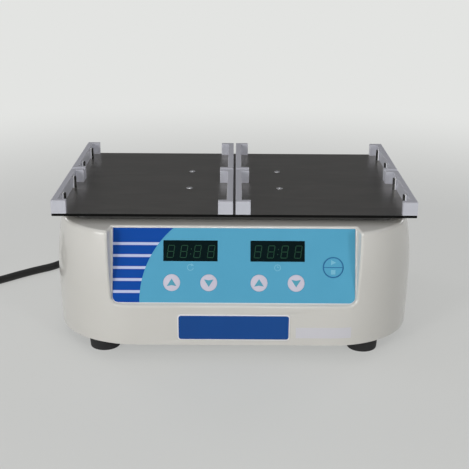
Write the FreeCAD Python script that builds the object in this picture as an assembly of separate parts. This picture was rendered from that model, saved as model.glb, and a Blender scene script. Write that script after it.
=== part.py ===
import FreeCAD, Part
import math
import os
from FreeCAD import Placement, Rotation, Vector

# Bench-top orbital shaker for four microplates, in millimetres.
# The origin is on the bench under the middle of the housing: +X is to the user's
# right, -Y is the front with the panel, +Z is up.

# Microplate nests on the platform
microplate_length = 127.76
microplate_width = 85.48
nest_clearance_x = 0.84
nest_clearance_y = 0.82
bracket_wall = 4.7
bracket_lug_reach = 11.3
bracket_lug_thickness = 5.0
bracket_height = 10.4
bracket_edge_break = 0.35
centre_gap = 2.0
row_gap = 4.0

# Retaining springs on the outer brackets
spring_radius = 1.65
spring_strip = 0.35
spring_spacing = 50.0
spring_leg = 2.4

# Levels above the bench
rim_z = 11.0
widest_z = 59.0
deck_z = 99.5
platform_gap = 2.0
sub_plate_thickness = 3.5
platform_thickness = 2.0

# Moulded housing
housing_width = 282.3
housing_depth = 235.0
housing_wall = 3.0
front_corner_radius = 66.6
rear_corner_radius = 45.0
lower_bulge_radius = 960.0
upper_bulge_radius = 177.0
deck_edge_round = 3.0
smallest_round = 0.5

# Control panel, set back into the front
panel_setback = 23.0
panel_tilt = 19.0
panel_side_margin = 49.05
recess_bottom = 58.6
recess_corner_radius = 5.2
recess_side_draft = 10.0
recess_ledge_draft = 30.0
recess_edge_round = 2.0
recess_mouth = 40.0
overlay_margin = 0.6
overlay_top = 1.7
overlay_thickness = 0.6
window_width = 41.1
window_height = 15.8
window_share = 0.3572
window_down = 18.9
window_frame = 0.6
key_radius = 6.3
start_key_radius = 7.8
key_down = 43.0
key_near_share = 0.2063
key_far_share = 0.5103
start_key_share = 0.8132
start_key_down = 30.9
key_gap = 0.15
key_flange = 0.6
key_flange_thickness = 1.2
key_flange_gap = 0.1
key_dome = 0.3
key_travel = 0.4
key_stem_radius = 1.75
board_setback = 9.0
board_thickness = 1.6
board_side_margin = 6.1
board_top_down = 8.0
board_bottom_down = 52.0
board_screw_inset = 6.0
board_screw_margin = 5.0
switch_side = 6.2
switch_body_height = 3.5
switch_plunger_height = 1.4

# Bare name plate below the panel
name_plate_width = 85.1
name_plate_height = 21.1
name_plate_z = 26.0
name_plate_radius = 2.5
name_plate_thickness = 1.2
name_plate_seat = 0.7

# Orbiting drive
orbit_radius = 1.5
drive_axis_y = 7.2
running_clearance = 0.05
orbit_clearance = 1.5
chassis_z = 68.0
chassis_thickness = 5.0
chassis_side_margin = 28.15
chassis_front_margin = 47.5
chassis_rear_margin = 32.5
chassis_corner_radius = 12.0
post_radius = 6.0
post_inset = 15.0
post_offset_y = 28.0
idler_inset = 18.0
idler_offset_y = 60.0
idler_boss_radius = 12.0
idler_boss_height = 13.0
idler_journal_radius = 4.0
idler_web_radius = 9.0
idler_bearing_radius = 8.0
idler_bearing_width = 5.0
bearing_float = 0.3
drive_journal_radius = 5.0
drive_bearing_radius = 13.0
drive_bearing_width = 8.0
bearing_boss_wall = 3.5
motor_radius = 28.0
motor_height = 40.0
motor_pilot_radius = 11.0
motor_shaft_radius = 4.0
motor_screw_circle = 21.0
motor_bore_depth = 12.0
motor_rim_height = 7.0
motor_rim_step = 1.0
motor_pilot_clearance = 0.1
motor_base_edge = 2.0
shaft_end_gap = 0.5
shaft_top_gap = 4.0
hub_radius = 12.0
hub_low_z = 76.5
hub_high_z = 91.5
counterweight_radius = 44.0
counterweight_thickness = 8.0
counterweight_lift = 2.0
counterweight_ring_radius = 22.0
clamp_slot = 1.6
set_screw_rise = 2.5

# Platform plates
sub_plate_width = 245.0
sub_plate_depth = 183.2
sub_plate_corner_radius = 8.0
sub_plate_window = 46.0
sub_plate_window_shift = 4.0
window_corner_radius = 6.0
platform_corner_radius = 1.2
platform_screw_x = 37.5
platform_screw_rear_y = 31.0
platform_screw_front_y = -23.5

# Base, feet and fastenings
base_thickness = 1.5
base_clearance = 0.5
base_lip = 0.5
foot_radius = 12.5
foot_taper = 1.0
foot_side_inset = 40.15
foot_front_inset = 25.0
foot_rear_inset = 25.5
foot_bore_depth = 5.0
boss_radius = 5.0
boss_front_side_inset = 23.15
boss_front_inset = 41.5
boss_rear_side_inset = 19.15
boss_rear_inset = 23.5
boss_pilot_depth = 14.0
screw_radius = 1.5
screw_head_radius = 2.8
screw_head_height = 2.2
screw_grip = 8.0
base_screw_grip = 12.5
large_head_radius = 3.7
vent_count = 9
vent_length = 34.0
vent_width = 3.0
vent_pitch = 7.0

# Rear pocket with the power entry
pocket_depth = 8.0
pocket_side_margin = 32.15
pocket_width = 101.0
pocket_low_z = 18.0
pocket_high_z = 52.0
pocket_corner_radius = 5.0
rear_cut_depth = 20.0
deck_cut_depth = 20.0
entry_z = 35.0
inlet_inset = 29.0
inlet_flange_width = 50.0
inlet_flange_height = 23.0
inlet_flange_thickness = 3.0
inlet_body_width = 28.0
inlet_body_height = 20.4
inlet_body_depth = 21.0
inlet_socket_width = 24.2
inlet_socket_height = 16.6
inlet_socket_depth = 17.0
inlet_screw_spacing = 40.0
inlet_pin_width = 2.0
inlet_pin_height = 4.0
inlet_pin_length = 13.0
inlet_pin_pitch = 7.0
inlet_pin_raise = 2.0
plug_in_clearance = 0.2
rocker_inset = 66.0
rocker_frame_width = 15.0
rocker_frame_height = 21.0
rocker_frame_thickness = 2.0
rocker_body_width = 12.8
rocker_body_height = 19.2
rocker_body_depth = 17.0
rocker_width = 9.8
rocker_half_height = 7.4
rocker_side_wall = 1.0
rocker_pivot_depth = 3.6
rocker_pin_radius = 1.2
rocker_swing = 12.0
rocker_front = 4.4
rocker_back = 2.6
rocker_edge_round = 0.7
rocker_side_gap = 0.3
rocker_end_gap = 1.2
rocker_back_gap = 0.5
fuse_inset = 89.0
fuse_cap_radius = 6.4
fuse_cap_height = 5.6
fuse_nut_radius = 8.4
fuse_nut_height = 2.0
fuse_body_radius = 5.8
fuse_body_depth = 26.0

# Power supply board on the base
supply_post_gap = 52.0
supply_rear_margin = 57.5
supply_width = 84.0
supply_depth = 56.0
supply_lift = 6.0
supply_post_inset = 5.0
supply_post_radius = 3.2
transformer_width = 24.0
transformer_depth = 20.0
transformer_height = 18.0
capacitor_radius = 8.0
capacitor_height = 24.0
filter_radius = 5.0
filter_height = 16.0
heat_sink_length = 48.0
heat_sink_height = 22.0
heat_sink_wall = 3.0
heat_sink_y = 20.0
fin_count = 5
fin_reach = 4.0
fin_thickness = 2.0
relay_width = 16.0
relay_depth = 10.0
relay_height = 9.0

# Mains lead
cord_radius = 3.5
connector_width = 28.0
connector_height = 20.0
connector_length = 27.0
connector_taper = 3.0
relief_length = 26.0
relief_start_radius = 6.4
relief_end_radius = 4.3
coil_centre = (-302.0, 50.0)
coil_mean_radius = 37.0
coil_layers = 2
coil_turns = 5.25
plug_width = 26.0
plug_height = 21.0
plug_length = 30.0
plug_shoulder = 6.0
plug_corner_radius = 5.0
plug_relief_length = 22.0
blade_length = 17.0
blade_pitch = 12.7
blade_thickness = 1.5
blade_width = 6.3
blade_drop = 0.5
ground_pin_radius = 2.4
ground_pin_drop = 6.0
ground_pin_extra = 3.0

# Values worked out from the sizes above
half_width = housing_width / 2
front_y = -housing_depth / 2
rear_y = housing_depth / 2
panel_edge_y = front_y + panel_setback
recess_half_width = half_width - panel_side_margin
window_offset_x = window_share * recess_half_width
key_near_x = key_near_share * recess_half_width
key_far_x = key_far_share * recess_half_width
start_key_x = start_key_share * recess_half_width
board_half_width = recess_half_width - board_side_margin
board_screw_x = board_half_width - board_screw_inset
chassis_half_width = half_width - chassis_side_margin
chassis_front_y = front_y + chassis_front_margin
chassis_rear_y = rear_y - chassis_rear_margin
post_x = chassis_half_width - post_inset
idler_x = chassis_half_width - idler_inset
foot_x = half_width - foot_side_inset
foot_front_y = front_y + foot_front_inset
foot_rear_y = rear_y - foot_rear_inset
boss_front_x = half_width - boss_front_side_inset
boss_front_y = front_y + boss_front_inset
boss_rear_x = half_width - boss_rear_side_inset
boss_rear_y = rear_y - boss_rear_inset
pocket_low_x = pocket_side_margin - half_width
pocket_high_x = pocket_low_x + pocket_width
inlet_x = pocket_low_x + inlet_inset
rocker_x = pocket_low_x + rocker_inset
fuse_x = pocket_low_x + fuse_inset
supply_x = post_x - supply_post_gap
supply_y = rear_y - supply_rear_margin
sub_plate_z = deck_z + platform_gap
platform_z = sub_plate_z + sub_plate_thickness
platform_top = platform_z + platform_thickness
platform_y = drive_axis_y + orbit_radius
nest_x = microplate_length + nest_clearance_x
nest_y = microplate_width + nest_clearance_y
bracket_length = nest_y + 2 * bracket_lug_thickness
platform_width = 2 * (nest_x + 2 * bracket_wall) + centre_gap
platform_depth = 2 * bracket_length + row_gap
base_z = rim_z + base_lip
base_top = base_z + base_thickness
front_centre_x = half_width - front_corner_radius
front_centre_y = front_y + front_corner_radius
rear_centre_x = half_width - rear_corner_radius
rear_centre_y = rear_y - rear_corner_radius
pocket_y = rear_y - pocket_depth
rear_cut_y = rear_y - rear_cut_depth
chassis_top = chassis_z + chassis_thickness
board_front = -board_setback
inlet_face_y = pocket_y + inlet_flange_thickness
grip_start_y = inlet_face_y + 0.3
grip_end_y = grip_start_y + connector_length
relief_end_y = grip_end_y + relief_length
coil_band = (coil_turns / coil_layers + 1) * 2 * cord_radius
coil_outer_radius = coil_mean_radius + coil_band / 2
outer_turn_radius = coil_outer_radius - cord_radius
coil_entry = math.sqrt(coil_outer_radius**2 - outer_turn_radius**2)
switch_top = board_front + switch_body_height + switch_plunger_height

X = Vector(1, 0, 0)
Y = Vector(0, 1, 0)
Z = Vector(0, 0, 1)


# Small drawing helpers
def block(x0, x1, y0, y1, z0, z1):
    return Part.makeBox(x1 - x0, y1 - y0, z1 - z0, Vector(x0, y0, z0))


def rod(radius, start, end):
    step = end - start
    return Part.makeCylinder(radius, step.Length, start, step)


def upright(radius, x, y, z0, z1):
    return rod(radius, Vector(x, y, z0), Vector(x, y, z1))


def rounded_wire(centre, along, across, width, height, radius):
    # Rectangle with rounded corners in the plane of two unit vectors
    a = width / 2
    b = height / 2
    r = min(radius, 0.49 * width, 0.49 * height)
    k = r * (1 - math.sqrt(0.5))

    def at(u, v):
        return centre + along * u + across * v

    edges = []
    for sx, sy in ((1, 1), (-1, 1), (-1, -1), (1, -1)):
        first = at(sx * a, sy * (b - r))
        middle = at(sx * (a - k), sy * (b - k))
        last = at(sx * (a - r), sy * b)
        if sx * sy < 0:
            first, last = last, first
        edges.append(Part.Arc(first, middle, last).toShape())
    joined = []
    for n, edge in enumerate(edges):
        following = edges[(n + 1) % 4]
        joined.append(edge)
        joined.append(Part.makeLine(edge.lastVertex().Point, following.firstVertex().Point))
    return Part.Wire(Part.__sortEdges__(joined))


def rounded_plate(cx, cy, width, depth, radius, z0, z1):
    wire = rounded_wire(Vector(cx, cy, z0), X, Y, width, depth, radius)
    return Part.Face(wire).extrude(Z * (z1 - z0))


def rounded_slab(cx, cz, width, height, radius, y0, y1):
    # Plate that stands upright, its thickness along Y
    wire = rounded_wire(Vector(cx, y0, cz), X, Z, width, height, radius)
    return Part.Face(wire).extrude(Y * (y1 - y0))


def turned(points, x, y):
    # Solid of revolution about an upright axis, from radius and height pairs
    outline = [Vector(r, 0, z) for r, z in points]
    outline.append(outline[0])
    shape = Part.Face(Part.makePolygon(outline)).revolve(Vector(0, 0, 0), Z, 360)
    shape.translate(Vector(x, y, 0))
    return shape


def fused(shapes):
    if len(shapes) == 1:
        return shapes[0]
    return shapes[0].multiFuse(shapes[1:]).removeSplitter()


def group(shapes):
    return Part.makeCompound(shapes)


def panel_place(shape):
    # Drawn flat as x, up the slope, outwards; laid on the tilted panel
    moved = shape.copy()
    turn = Rotation(X, 90 - panel_tilt)
    moved.Placement = Placement(Vector(0, panel_edge_y, deck_z), turn).multiply(moved.Placement)
    return moved


def panel_box(x0, x1, down0, down1, out0, out1):
    return block(x0, x1, -down1, -down0, out0, out1)


# Screws, drawn with the head at the given point and the shank along a direction
def pan_screw(at, direction, grip, radius=screw_radius, head=screw_head_radius):
    unit = Vector(direction).normalize()
    cap = rod(head, at - unit * screw_head_height, at)
    cap = cap.makeChamfer(0.3 * screw_head_height, [cap.Edges[2]])
    return cap.fuse(rod(radius, at, at + unit * grip)).removeSplitter()


def flush_screw(at, direction, grip, radius=screw_radius, head=screw_head_radius):
    unit = Vector(direction).normalize()
    cone = Part.makeCone(head, radius, head - radius, at, unit)
    return cone.fuse(rod(radius, at, at + unit * grip)).removeSplitter()


# Positions used by more than one piece
idler_places = {
    "front_left": (-idler_x, drive_axis_y - idler_offset_y),
    "front_right": (idler_x, drive_axis_y - idler_offset_y),
    "rear_left": (-idler_x, drive_axis_y + idler_offset_y),
    "rear_right": (idler_x, drive_axis_y + idler_offset_y),
}
foot_places = [
    (-foot_x, foot_front_y),
    (foot_x, foot_front_y),
    (-foot_x, foot_rear_y),
    (foot_x, foot_rear_y),
]
boss_places = [
    (-boss_front_x, boss_front_y),
    (boss_front_x, boss_front_y),
    (-boss_rear_x, boss_rear_y),
    (boss_rear_x, boss_rear_y),
]
post_places = [
    (sx * post_x, drive_axis_y + sy * post_offset_y) for sx in (-1, 1) for sy in (-1, 1)
]
motor_screw_places = [
    (sx * motor_screw_circle * math.sqrt(0.5), drive_axis_y + sy * motor_screw_circle * math.sqrt(0.5))
    for sx in (-1, 1)
    for sy in (-1, 1)
]
platform_screw_places = [
    (sx * platform_screw_x, platform_y + y)
    for sx in (-1, 1)
    for y in (platform_screw_front_y, platform_screw_rear_y)
]
key_places = {
    "key_speed_up": (-key_far_x, key_down, key_radius),
    "key_speed_down": (-key_near_x, key_down, key_radius),
    "key_time_up": (key_near_x, key_down, key_radius),
    "key_time_down": (key_far_x, key_down, key_radius),
    "key_start_stop": (start_key_x, start_key_down, start_key_radius),
}
board_screw_places = [
    (sx * board_screw_x, down)
    for sx in (-1, 1)
    for down in (board_top_down + board_screw_margin, board_bottom_down - board_screw_margin)
]
supply_post_places = [
    (
        supply_x + sx * (supply_width / 2 - supply_post_inset),
        supply_y + sy * (supply_depth / 2 - supply_post_inset),
    )
    for sx in (-1, 1)
    for sy in (-1, 1)
]


# Barrel-sided form shared by the outside of the housing and its hollow
def wall_profile(reach, inset, low, high, edge_round):
    outer = reach - inset
    lower = lower_bulge_radius - inset
    upper = upper_bulge_radius - inset
    low_centre = outer - lower
    up_centre = outer - upper

    def on_arc(centre_x, centre_z, radius, angle):
        return Vector(centre_x + radius * math.cos(angle), 0, centre_z + radius * math.sin(angle))

    low_angle = -math.asin((widest_z - low) / lower)
    round_z = high - edge_round
    round_x = up_centre + math.sqrt((upper - edge_round) ** 2 - (round_z - widest_z) ** 2)
    top_angle = math.atan2(round_z - widest_z, round_x - up_centre)
    foot = on_arc(low_centre, widest_z, lower, low_angle)
    widest = Vector(outer, 0, widest_z)
    shoulder = on_arc(up_centre, widest_z, upper, top_angle)
    crown = Vector(round_x, 0, high)
    round_middle = on_arc(round_x, round_z, edge_round, (top_angle + math.pi / 2) / 2)
    edges = [
        Part.makeLine(Vector(0, 0, low), foot),
        Part.Arc(foot, on_arc(low_centre, widest_z, lower, low_angle / 2), widest).toShape(),
        Part.Arc(widest, on_arc(up_centre, widest_z, upper, top_angle / 2), shoulder).toShape(),
        Part.Arc(shoulder, round_middle, crown).toShape(),
        Part.makeLine(crown, Vector(0, 0, high)),
        Part.makeLine(Vector(0, 0, high), Vector(0, 0, low)),
    ]
    return Part.Face(Part.Wire(edges))


def barrel(inset, low, high, edge_round):
    def profile(reach, angle, x, y):
        face = wall_profile(reach, inset, low, high, edge_round)
        face.rotate(Vector(0, 0, 0), Z, angle)
        face.translate(Vector(x, y, 0))
        return face

    pieces = [block(-front_centre_x, front_centre_x, front_centre_y, rear_centre_y, low, high)]
    corners = (
        (front_corner_radius, -front_centre_x, front_centre_y, 180),
        (front_corner_radius, front_centre_x, front_centre_y, 270),
        (rear_corner_radius, rear_centre_x, rear_centre_y, 0),
        (rear_corner_radius, -rear_centre_x, rear_centre_y, 90),
    )
    for radius, cx, cy, start in corners:
        corner = profile(radius, start, cx, cy)
        pieces.append(corner.revolve(Vector(cx, cy, 0), Z, 90))
    side_length = rear_centre_y - front_centre_y
    for side, angle in ((1, 0), (-1, 180)):
        wall = profile(front_corner_radius, angle, side * front_centre_x, front_centre_y)
        pieces.append(wall.extrude(Y * side_length))
    front_wall = profile(front_corner_radius, 270, -front_centre_x, front_centre_y)
    pieces.append(front_wall.extrude(X * (2 * front_centre_x)))
    rear_wall = profile(rear_corner_radius, 90, -rear_centre_x, rear_centre_y)
    pieces.append(rear_wall.extrude(X * (2 * rear_centre_x)))
    return fused(pieces)


def panel_wire(half, top, bottom, radius, out):
    # Open-topped panel outline with two rounded lower corners
    k = radius * (1 - math.sqrt(0.5))

    def at(u, down):
        return Vector(u, -down, out)

    edges = [
        Part.makeLine(at(-half, top), at(half, top)),
        Part.makeLine(at(half, top), at(half, bottom - radius)),
        Part.Arc(at(half, bottom - radius), at(half - k, bottom - k), at(half - radius, bottom)).toShape(),
        Part.makeLine(at(half - radius, bottom), at(radius - half, bottom)),
        Part.Arc(at(radius - half, bottom), at(k - half, bottom - k), at(-half, bottom - radius)).toShape(),
        Part.makeLine(at(-half, bottom - radius), at(-half, top)),
    ]
    return Part.Wire(edges)


def recess_form(grow):
    # Drafted pocket in front of the panel; grow makes it larger by a wall
    reach = recess_mouth + grow
    side = math.tan(math.radians(recess_side_draft)) * reach
    ledge = math.tan(math.radians(recess_ledge_draft)) * reach
    half = recess_half_width + grow
    low = recess_bottom + grow
    high = -recess_mouth
    form = Part.makeWedge(
        -half, -grow, high, high, -half - side, half, recess_mouth, low, low + ledge, half + side
    )
    corners = []
    for edge in form.Edges:
        ends = [v.Point for v in edge.Vertexes]
        if min(p.z for p in ends) > low - 0.01 and abs(ends[0].y - ends[1].y) > recess_mouth / 2:
            corners.append(edge)
    form = form.makeFillet(recess_corner_radius + grow, corners)
    form.rotate(Vector(0, 0, 0), X, 90)
    return panel_place(form)


def pocket_form(grow):
    cx = (pocket_low_x + pocket_high_x) / 2
    cz = (pocket_low_z + pocket_high_z) / 2
    width = pocket_high_x - pocket_low_x + 2 * grow
    height = pocket_high_z - pocket_low_z + 2 * grow
    return rounded_slab(cx, cz, width, height, pocket_corner_radius + grow, pocket_y - grow, rear_y + grow)


def name_plate_form(thickness, clearance):
    # Flat plate on the lower front, leaning with the barrel side
    lean = math.degrees(math.asin((widest_z - name_plate_z) / lower_bulge_radius))
    face_y = front_y + lower_bulge_radius * (1 - math.cos(math.radians(lean)))
    seat = Vector(0, face_y + name_plate_seat, name_plate_z)
    wire = rounded_wire(
        seat,
        X,
        Z,
        name_plate_width + 2 * clearance,
        name_plate_height + 2 * clearance,
        name_plate_radius + clearance,
    )
    plate = Part.Face(wire).extrude(Y * -thickness)
    plate.rotate(seat, X, lean)
    return plate


def round_mouth(body, skin, cutter):
    # Breaks the sharp lip where the recess meets the outer skin
    lip = []
    for edge in body.Edges:
        middle = edge.valueAt((edge.FirstParameter + edge.LastParameter) / 2)
        point = Part.Vertex(middle)
        if point.distToShape(skin.Shells[0])[0] < 0.001 and point.distToShape(cutter.Shells[0])[0] < 0.001:
            lip.append(edge)
    return body.makeFillet(recess_edge_round, lip)


def make_upper_housing():
    outside = barrel(0, rim_z, deck_z, deck_edge_round)
    recess = recess_form(0)
    body = outside.cut(recess)
    body = round_mouth(body, outside, recess)
    inner_round = max(deck_edge_round - housing_wall, smallest_round)
    hollow = barrel(housing_wall, rim_z, deck_z - housing_wall, inner_round)
    hollow = hollow.cut(recess_form(housing_wall)).cut(pocket_form(housing_wall))
    columns = []
    for x, y in boss_places:
        columns.append(upright(boss_radius, x, y, base_top, deck_z))
    for x, down in board_screw_places:
        post = Part.makeCylinder(boss_radius * 0.7, board_setback, Vector(x, -down, board_front))
        columns.append(panel_place(post))
    hollow = hollow.cut(group(columns))
    body = body.cut(hollow)
    cuts = [pocket_form(0), name_plate_form(5 * name_plate_thickness, 0)]
    for x, y in boss_places:
        cuts.append(upright(screw_radius, x, y, base_top, base_top + boss_pilot_depth))
    drive_opening = deck_opening_radius(drive_boss_radius())
    cuts.append(upright(drive_opening, 0, drive_axis_y, deck_z - deck_cut_depth, deck_z + 1))
    for x, y in idler_places.values():
        cuts.append(upright(deck_opening_radius(idler_upper_boss_radius()), x, y, deck_z - 8, deck_z + 1))
    local = []
    for side in (-1, 1):
        centre = side * window_offset_x
        half_w = window_width / 2 + window_frame
        half_h = window_height / 2 + window_frame
        local.append(
            panel_box(centre - half_w, centre + half_w, window_down - half_h, window_down + half_h, -6, 1)
        )
    for x, down, radius in key_places.values():
        hole = key_hole_radius(radius)
        local.append(Part.makeCylinder(hole, 7, Vector(x, -down, -6)))
    for x, down in board_screw_places:
        pilot = Part.makeCylinder(screw_radius, screw_grip, Vector(x, -down, board_front))
        local.append(pilot)
    for shape in local:
        cuts.append(panel_place(shape))
    cuts.append(rounded_slab(inlet_x, entry_z, inlet_body_width, inlet_body_height, 1, rear_cut_y, rear_y))
    cuts.append(rounded_slab(rocker_x, entry_z, rocker_body_width, rocker_body_height, 1, rear_cut_y, rear_y))
    cuts.append(rod(fuse_body_radius, Vector(fuse_x, rear_cut_y, entry_z), Vector(fuse_x, rear_y, entry_z)))
    for side in (-1, 1):
        x = inlet_x + side * inlet_screw_spacing / 2
        cuts.append(rod(screw_radius, Vector(x, rear_cut_y, entry_z), Vector(x, rear_y, entry_z)))
    return body.cut(group(cuts)).removeSplitter()


def key_hole_radius(radius):
    return radius + key_flange + 2 * key_gap


def drive_boss_radius():
    return drive_bearing_radius + bearing_boss_wall


def idler_upper_boss_radius():
    return idler_bearing_radius + bearing_boss_wall


def deck_opening_radius(boss):
    # The boss orbits about the opening's centre
    return boss + orbit_radius + orbit_clearance


# Panel pieces
def make_panel_overlay():
    half = recess_half_width - overlay_margin
    bottom = recess_bottom - overlay_margin
    radius = recess_corner_radius - overlay_margin
    film = Part.Face(panel_wire(half, overlay_top, bottom, radius, 0)).extrude(Z * overlay_thickness)
    holes = []
    for side in (-1, 1):
        holes.append(display_window_box(side))
    for x, down, key in key_places.values():
        holes.append(Part.makeCylinder(key + key_gap, 2, Vector(x, -down, -0.5)))
    return panel_place(film.cut(group(holes)))


def display_window_box(side):
    centre = side * window_offset_x
    half_w = window_width / 2
    half_h = window_height / 2
    return panel_box(
        centre - half_w, centre + half_w, window_down - half_h, window_down + half_h, 0, overlay_thickness
    )


def make_display_windows():
    return group([panel_place(display_window_box(side)) for side in (-1, 1)])


def make_key(place):
    # Cap that shows through the overlay, a flange behind it and a stem to its switch
    x, down, radius = place
    flange_top = -key_flange_gap
    flange_low = flange_top - key_flange_thickness
    stem_low = switch_top + key_travel + key_flange_gap
    rise = overlay_thickness + key_dome
    outline = [
        (0, stem_low),
        (key_stem_radius, stem_low),
        (key_stem_radius, flange_low),
        (radius + key_flange, flange_low),
        (radius + key_flange, flange_top),
        (radius, flange_top),
        (radius, overlay_thickness),
    ]
    edges = []
    points = [Vector(r, 0, z) for r, z in outline]
    for first, last in zip(points[:-1], points[1:]):
        edges.append(Part.makeLine(first, last))
    top = Vector(0, 0, rise)
    sphere = (radius**2 + key_dome**2) / (2 * key_dome)
    half_angle = math.asin(radius / sphere) / 2
    middle = Vector(sphere * math.sin(half_angle), 0, rise - sphere * (1 - math.cos(half_angle)))
    edges.append(Part.Arc(points[-1], middle, top).toShape())
    edges.append(Part.makeLine(top, points[0]))
    key = Part.Face(Part.Wire(edges)).revolve(Vector(0, 0, 0), Z, 360)
    key.translate(Vector(x, -down, 0))
    return panel_place(key)


def make_control_board():
    board = panel_box(
        -board_half_width,
        board_half_width,
        board_top_down,
        board_bottom_down,
        board_front - board_thickness,
        board_front,
    )
    holes = []
    for x, down in board_screw_places:
        holes.append(Part.makeCylinder(screw_radius, 4, Vector(x, -down, board_front - 3)))
    return panel_place(board.cut(group(holes)))


def make_board_screws():
    screws = []
    for x, down in board_screw_places:
        at = Vector(x, -down, board_front - board_thickness)
        screws.append(panel_place(pan_screw(at, Z, screw_grip)))
    for x, y in supply_post_places:
        screws.append(pan_screw(Vector(x, y, supply_top()), -Z, screw_grip))
    return group(screws)


def make_display(side):
    # Four-digit module between the board and the window
    centre = side * window_offset_x
    half_w = window_width / 2 - 0.3
    half_h = window_height / 2 - 0.3
    case = panel_box(
        centre - half_w, centre + half_w, window_down - half_h, window_down + half_h, board_front, -0.1
    )
    case = case.makeFillet(0.8, [e for e in case.Edges if abs(e.tangentAt(e.FirstParameter).z) > 0.9])
    return panel_place(case)


def make_tact_switches():
    switches = []
    half = switch_side / 2
    for x, down, radius in key_places.values():
        body_top = board_front + switch_body_height
        body = panel_box(x - half, x + half, down - half, down + half, board_front, body_top)
        plunger = Part.makeCylinder(key_stem_radius, switch_plunger_height, Vector(x, -down, body_top))
        switches.append(panel_place(body.fuse(plunger).removeSplitter()))
    return group(switches)


def make_name_plate():
    return name_plate_form(name_plate_thickness, 0)


# Base, feet and fastenings
def base_outline(low, high, inset):
    return barrel_slice(housing_wall + base_clearance + inset, low, high)


def barrel_slice(inset, low, high):
    # Flat plate that follows the housing's plan at its rim
    rim_inset = lower_bulge_radius - math.sqrt(lower_bulge_radius**2 - (widest_z - rim_z) ** 2)
    total = inset + rim_inset
    pieces = []
    for radius, cx, cy in (
        (front_corner_radius, front_centre_x, front_centre_y),
        (rear_corner_radius, rear_centre_x, rear_centre_y),
    ):
        for side in (-1, 1):
            pieces.append(upright(radius - total, side * cx, cy, low, high))
    x = half_width - total
    pieces.append(block(-x, x, front_centre_y, rear_centre_y, low, high))
    pieces.append(block(-front_centre_x, front_centre_x, front_y + total, rear_centre_y, low, high))
    pieces.append(block(-rear_centre_x, rear_centre_x, front_centre_y, rear_y - total, low, high))
    return fused(pieces)


def make_base_plate():
    plate = base_outline(base_z, base_top, 0)
    holes = []
    for x, y in foot_places + boss_places + post_places:
        holes.append(upright(screw_radius, x, y, base_z - 1, base_top + 1))
    first = -(vent_count - 1) * vent_pitch / 2
    for n in range(vent_count):
        x = first + n * vent_pitch
        slot = rounded_plate(x, drive_axis_y, vent_width, vent_length, vent_width / 2, base_z, base_top)
        holes.append(slot)
    for x, y in supply_post_places:
        holes.append(upright(screw_radius, x, y, base_z - 1, base_top + 1))
    return plate.cut(group(holes))


def make_rubber_feet():
    feet = []
    for x, y in foot_places:
        foot = turned(
            [
                (screw_radius, base_z),
                (screw_radius, foot_bore_depth),
                (large_head_radius, foot_bore_depth),
                (large_head_radius, 0),
                (foot_radius - foot_taper - 1, 0),
                (foot_radius - foot_taper, 1),
                (foot_radius, base_z),
            ],
            x,
            y,
        )
        feet.append(foot)
    return group(feet)


def make_base_screws():
    # One kind of screw holds the feet and, through the bosses, the base
    screws = []
    for x, y in foot_places:
        screws.append(pan_screw(Vector(x, y, foot_bore_depth), Z, base_screw_grip))
    for x, y in boss_places:
        screws.append(pan_screw(Vector(x, y, base_z), Z, base_screw_grip))
    return group(screws)


# Chassis, motor and idlers
def make_chassis_plate():
    width = 2 * chassis_half_width
    depth = chassis_rear_y - chassis_front_y
    cy = (chassis_front_y + chassis_rear_y) / 2
    plate = rounded_plate(0, cy, width, depth, chassis_corner_radius, chassis_z, chassis_top)
    parts = [plate]
    holes = []
    for x, y in idler_places.values():
        parts.append(upright(idler_boss_radius, x, y, chassis_z, chassis_top + idler_boss_height))
        holes.append(upright(idler_bearing_radius, x, y, chassis_z - 1, chassis_top + idler_boss_height + 1))
    for x, y in post_places:
        holes.append(upright(screw_radius, x, y, chassis_z - 1, chassis_top + 1))
    for x, y in motor_screw_places:
        holes.append(upright(screw_radius, x, y, chassis_z - 1, chassis_top + 1))
    holes.append(upright(motor_pilot_radius, 0, drive_axis_y, chassis_z - 1, chassis_top + 1))
    for side in (-1, 1):
        # Lightening windows either side of the motor
        x = side * (motor_radius + post_x - post_radius) / 2
        span = post_x - post_radius - motor_radius - 2 * chassis_corner_radius
        holes.append(
            rounded_plate(
                x, drive_axis_y, span, 3 * post_offset_y, window_corner_radius, chassis_z - 1, chassis_top + 1
            )
        )
    return fused(parts).cut(group(holes))


def make_chassis_posts():
    posts = []
    for x, y in post_places:
        post = upright(post_radius, x, y, base_top, chassis_z)
        low_hole = upright(screw_radius, x, y, base_z, base_z + screw_grip)
        high_hole = upright(screw_radius, x, y, chassis_top - screw_grip, chassis_top)
        posts.append(post.cut(low_hole).cut(high_hole))
    return group(posts)


def make_chassis_screws():
    # The same screw at both ends of each post and into the motor
    screws = []
    for x, y in post_places:
        screws.append(pan_screw(Vector(x, y, chassis_top), -Z, screw_grip))
        screws.append(pan_screw(Vector(x, y, base_z), Z, screw_grip))
    for x, y in motor_screw_places:
        screws.append(pan_screw(Vector(x, y, chassis_top), -Z, screw_grip))
    return group(screws)


def make_motor_body():
    low = chassis_z - motor_height
    floor = chassis_z - motor_bore_depth
    pilot_top = chassis_top - motor_rim_step
    pilot = motor_pilot_radius - motor_pilot_clearance
    can = motor_radius - motor_rim_step
    bore = motor_shaft_radius + running_clearance
    body = turned(
        [
            (bore, floor),
            (bore, pilot_top),
            (pilot, pilot_top),
            (pilot, chassis_z),
            (motor_radius, chassis_z),
            (motor_radius, chassis_z - motor_rim_height),
            (can, chassis_z - motor_rim_height - motor_rim_step),
            (can, low + motor_base_edge),
            (can - motor_base_edge, low),
            (0, low),
            (0, floor),
        ],
        0,
        drive_axis_y,
    )
    holes = [upright(screw_radius, x, y, chassis_top - screw_grip, chassis_z) for x, y in motor_screw_places]
    return body.cut(group(holes))


def make_motor_shaft():
    low = chassis_z - motor_bore_depth + shaft_end_gap
    return upright(motor_shaft_radius, 0, drive_axis_y, low, hub_high_z - shaft_top_gap)


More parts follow.
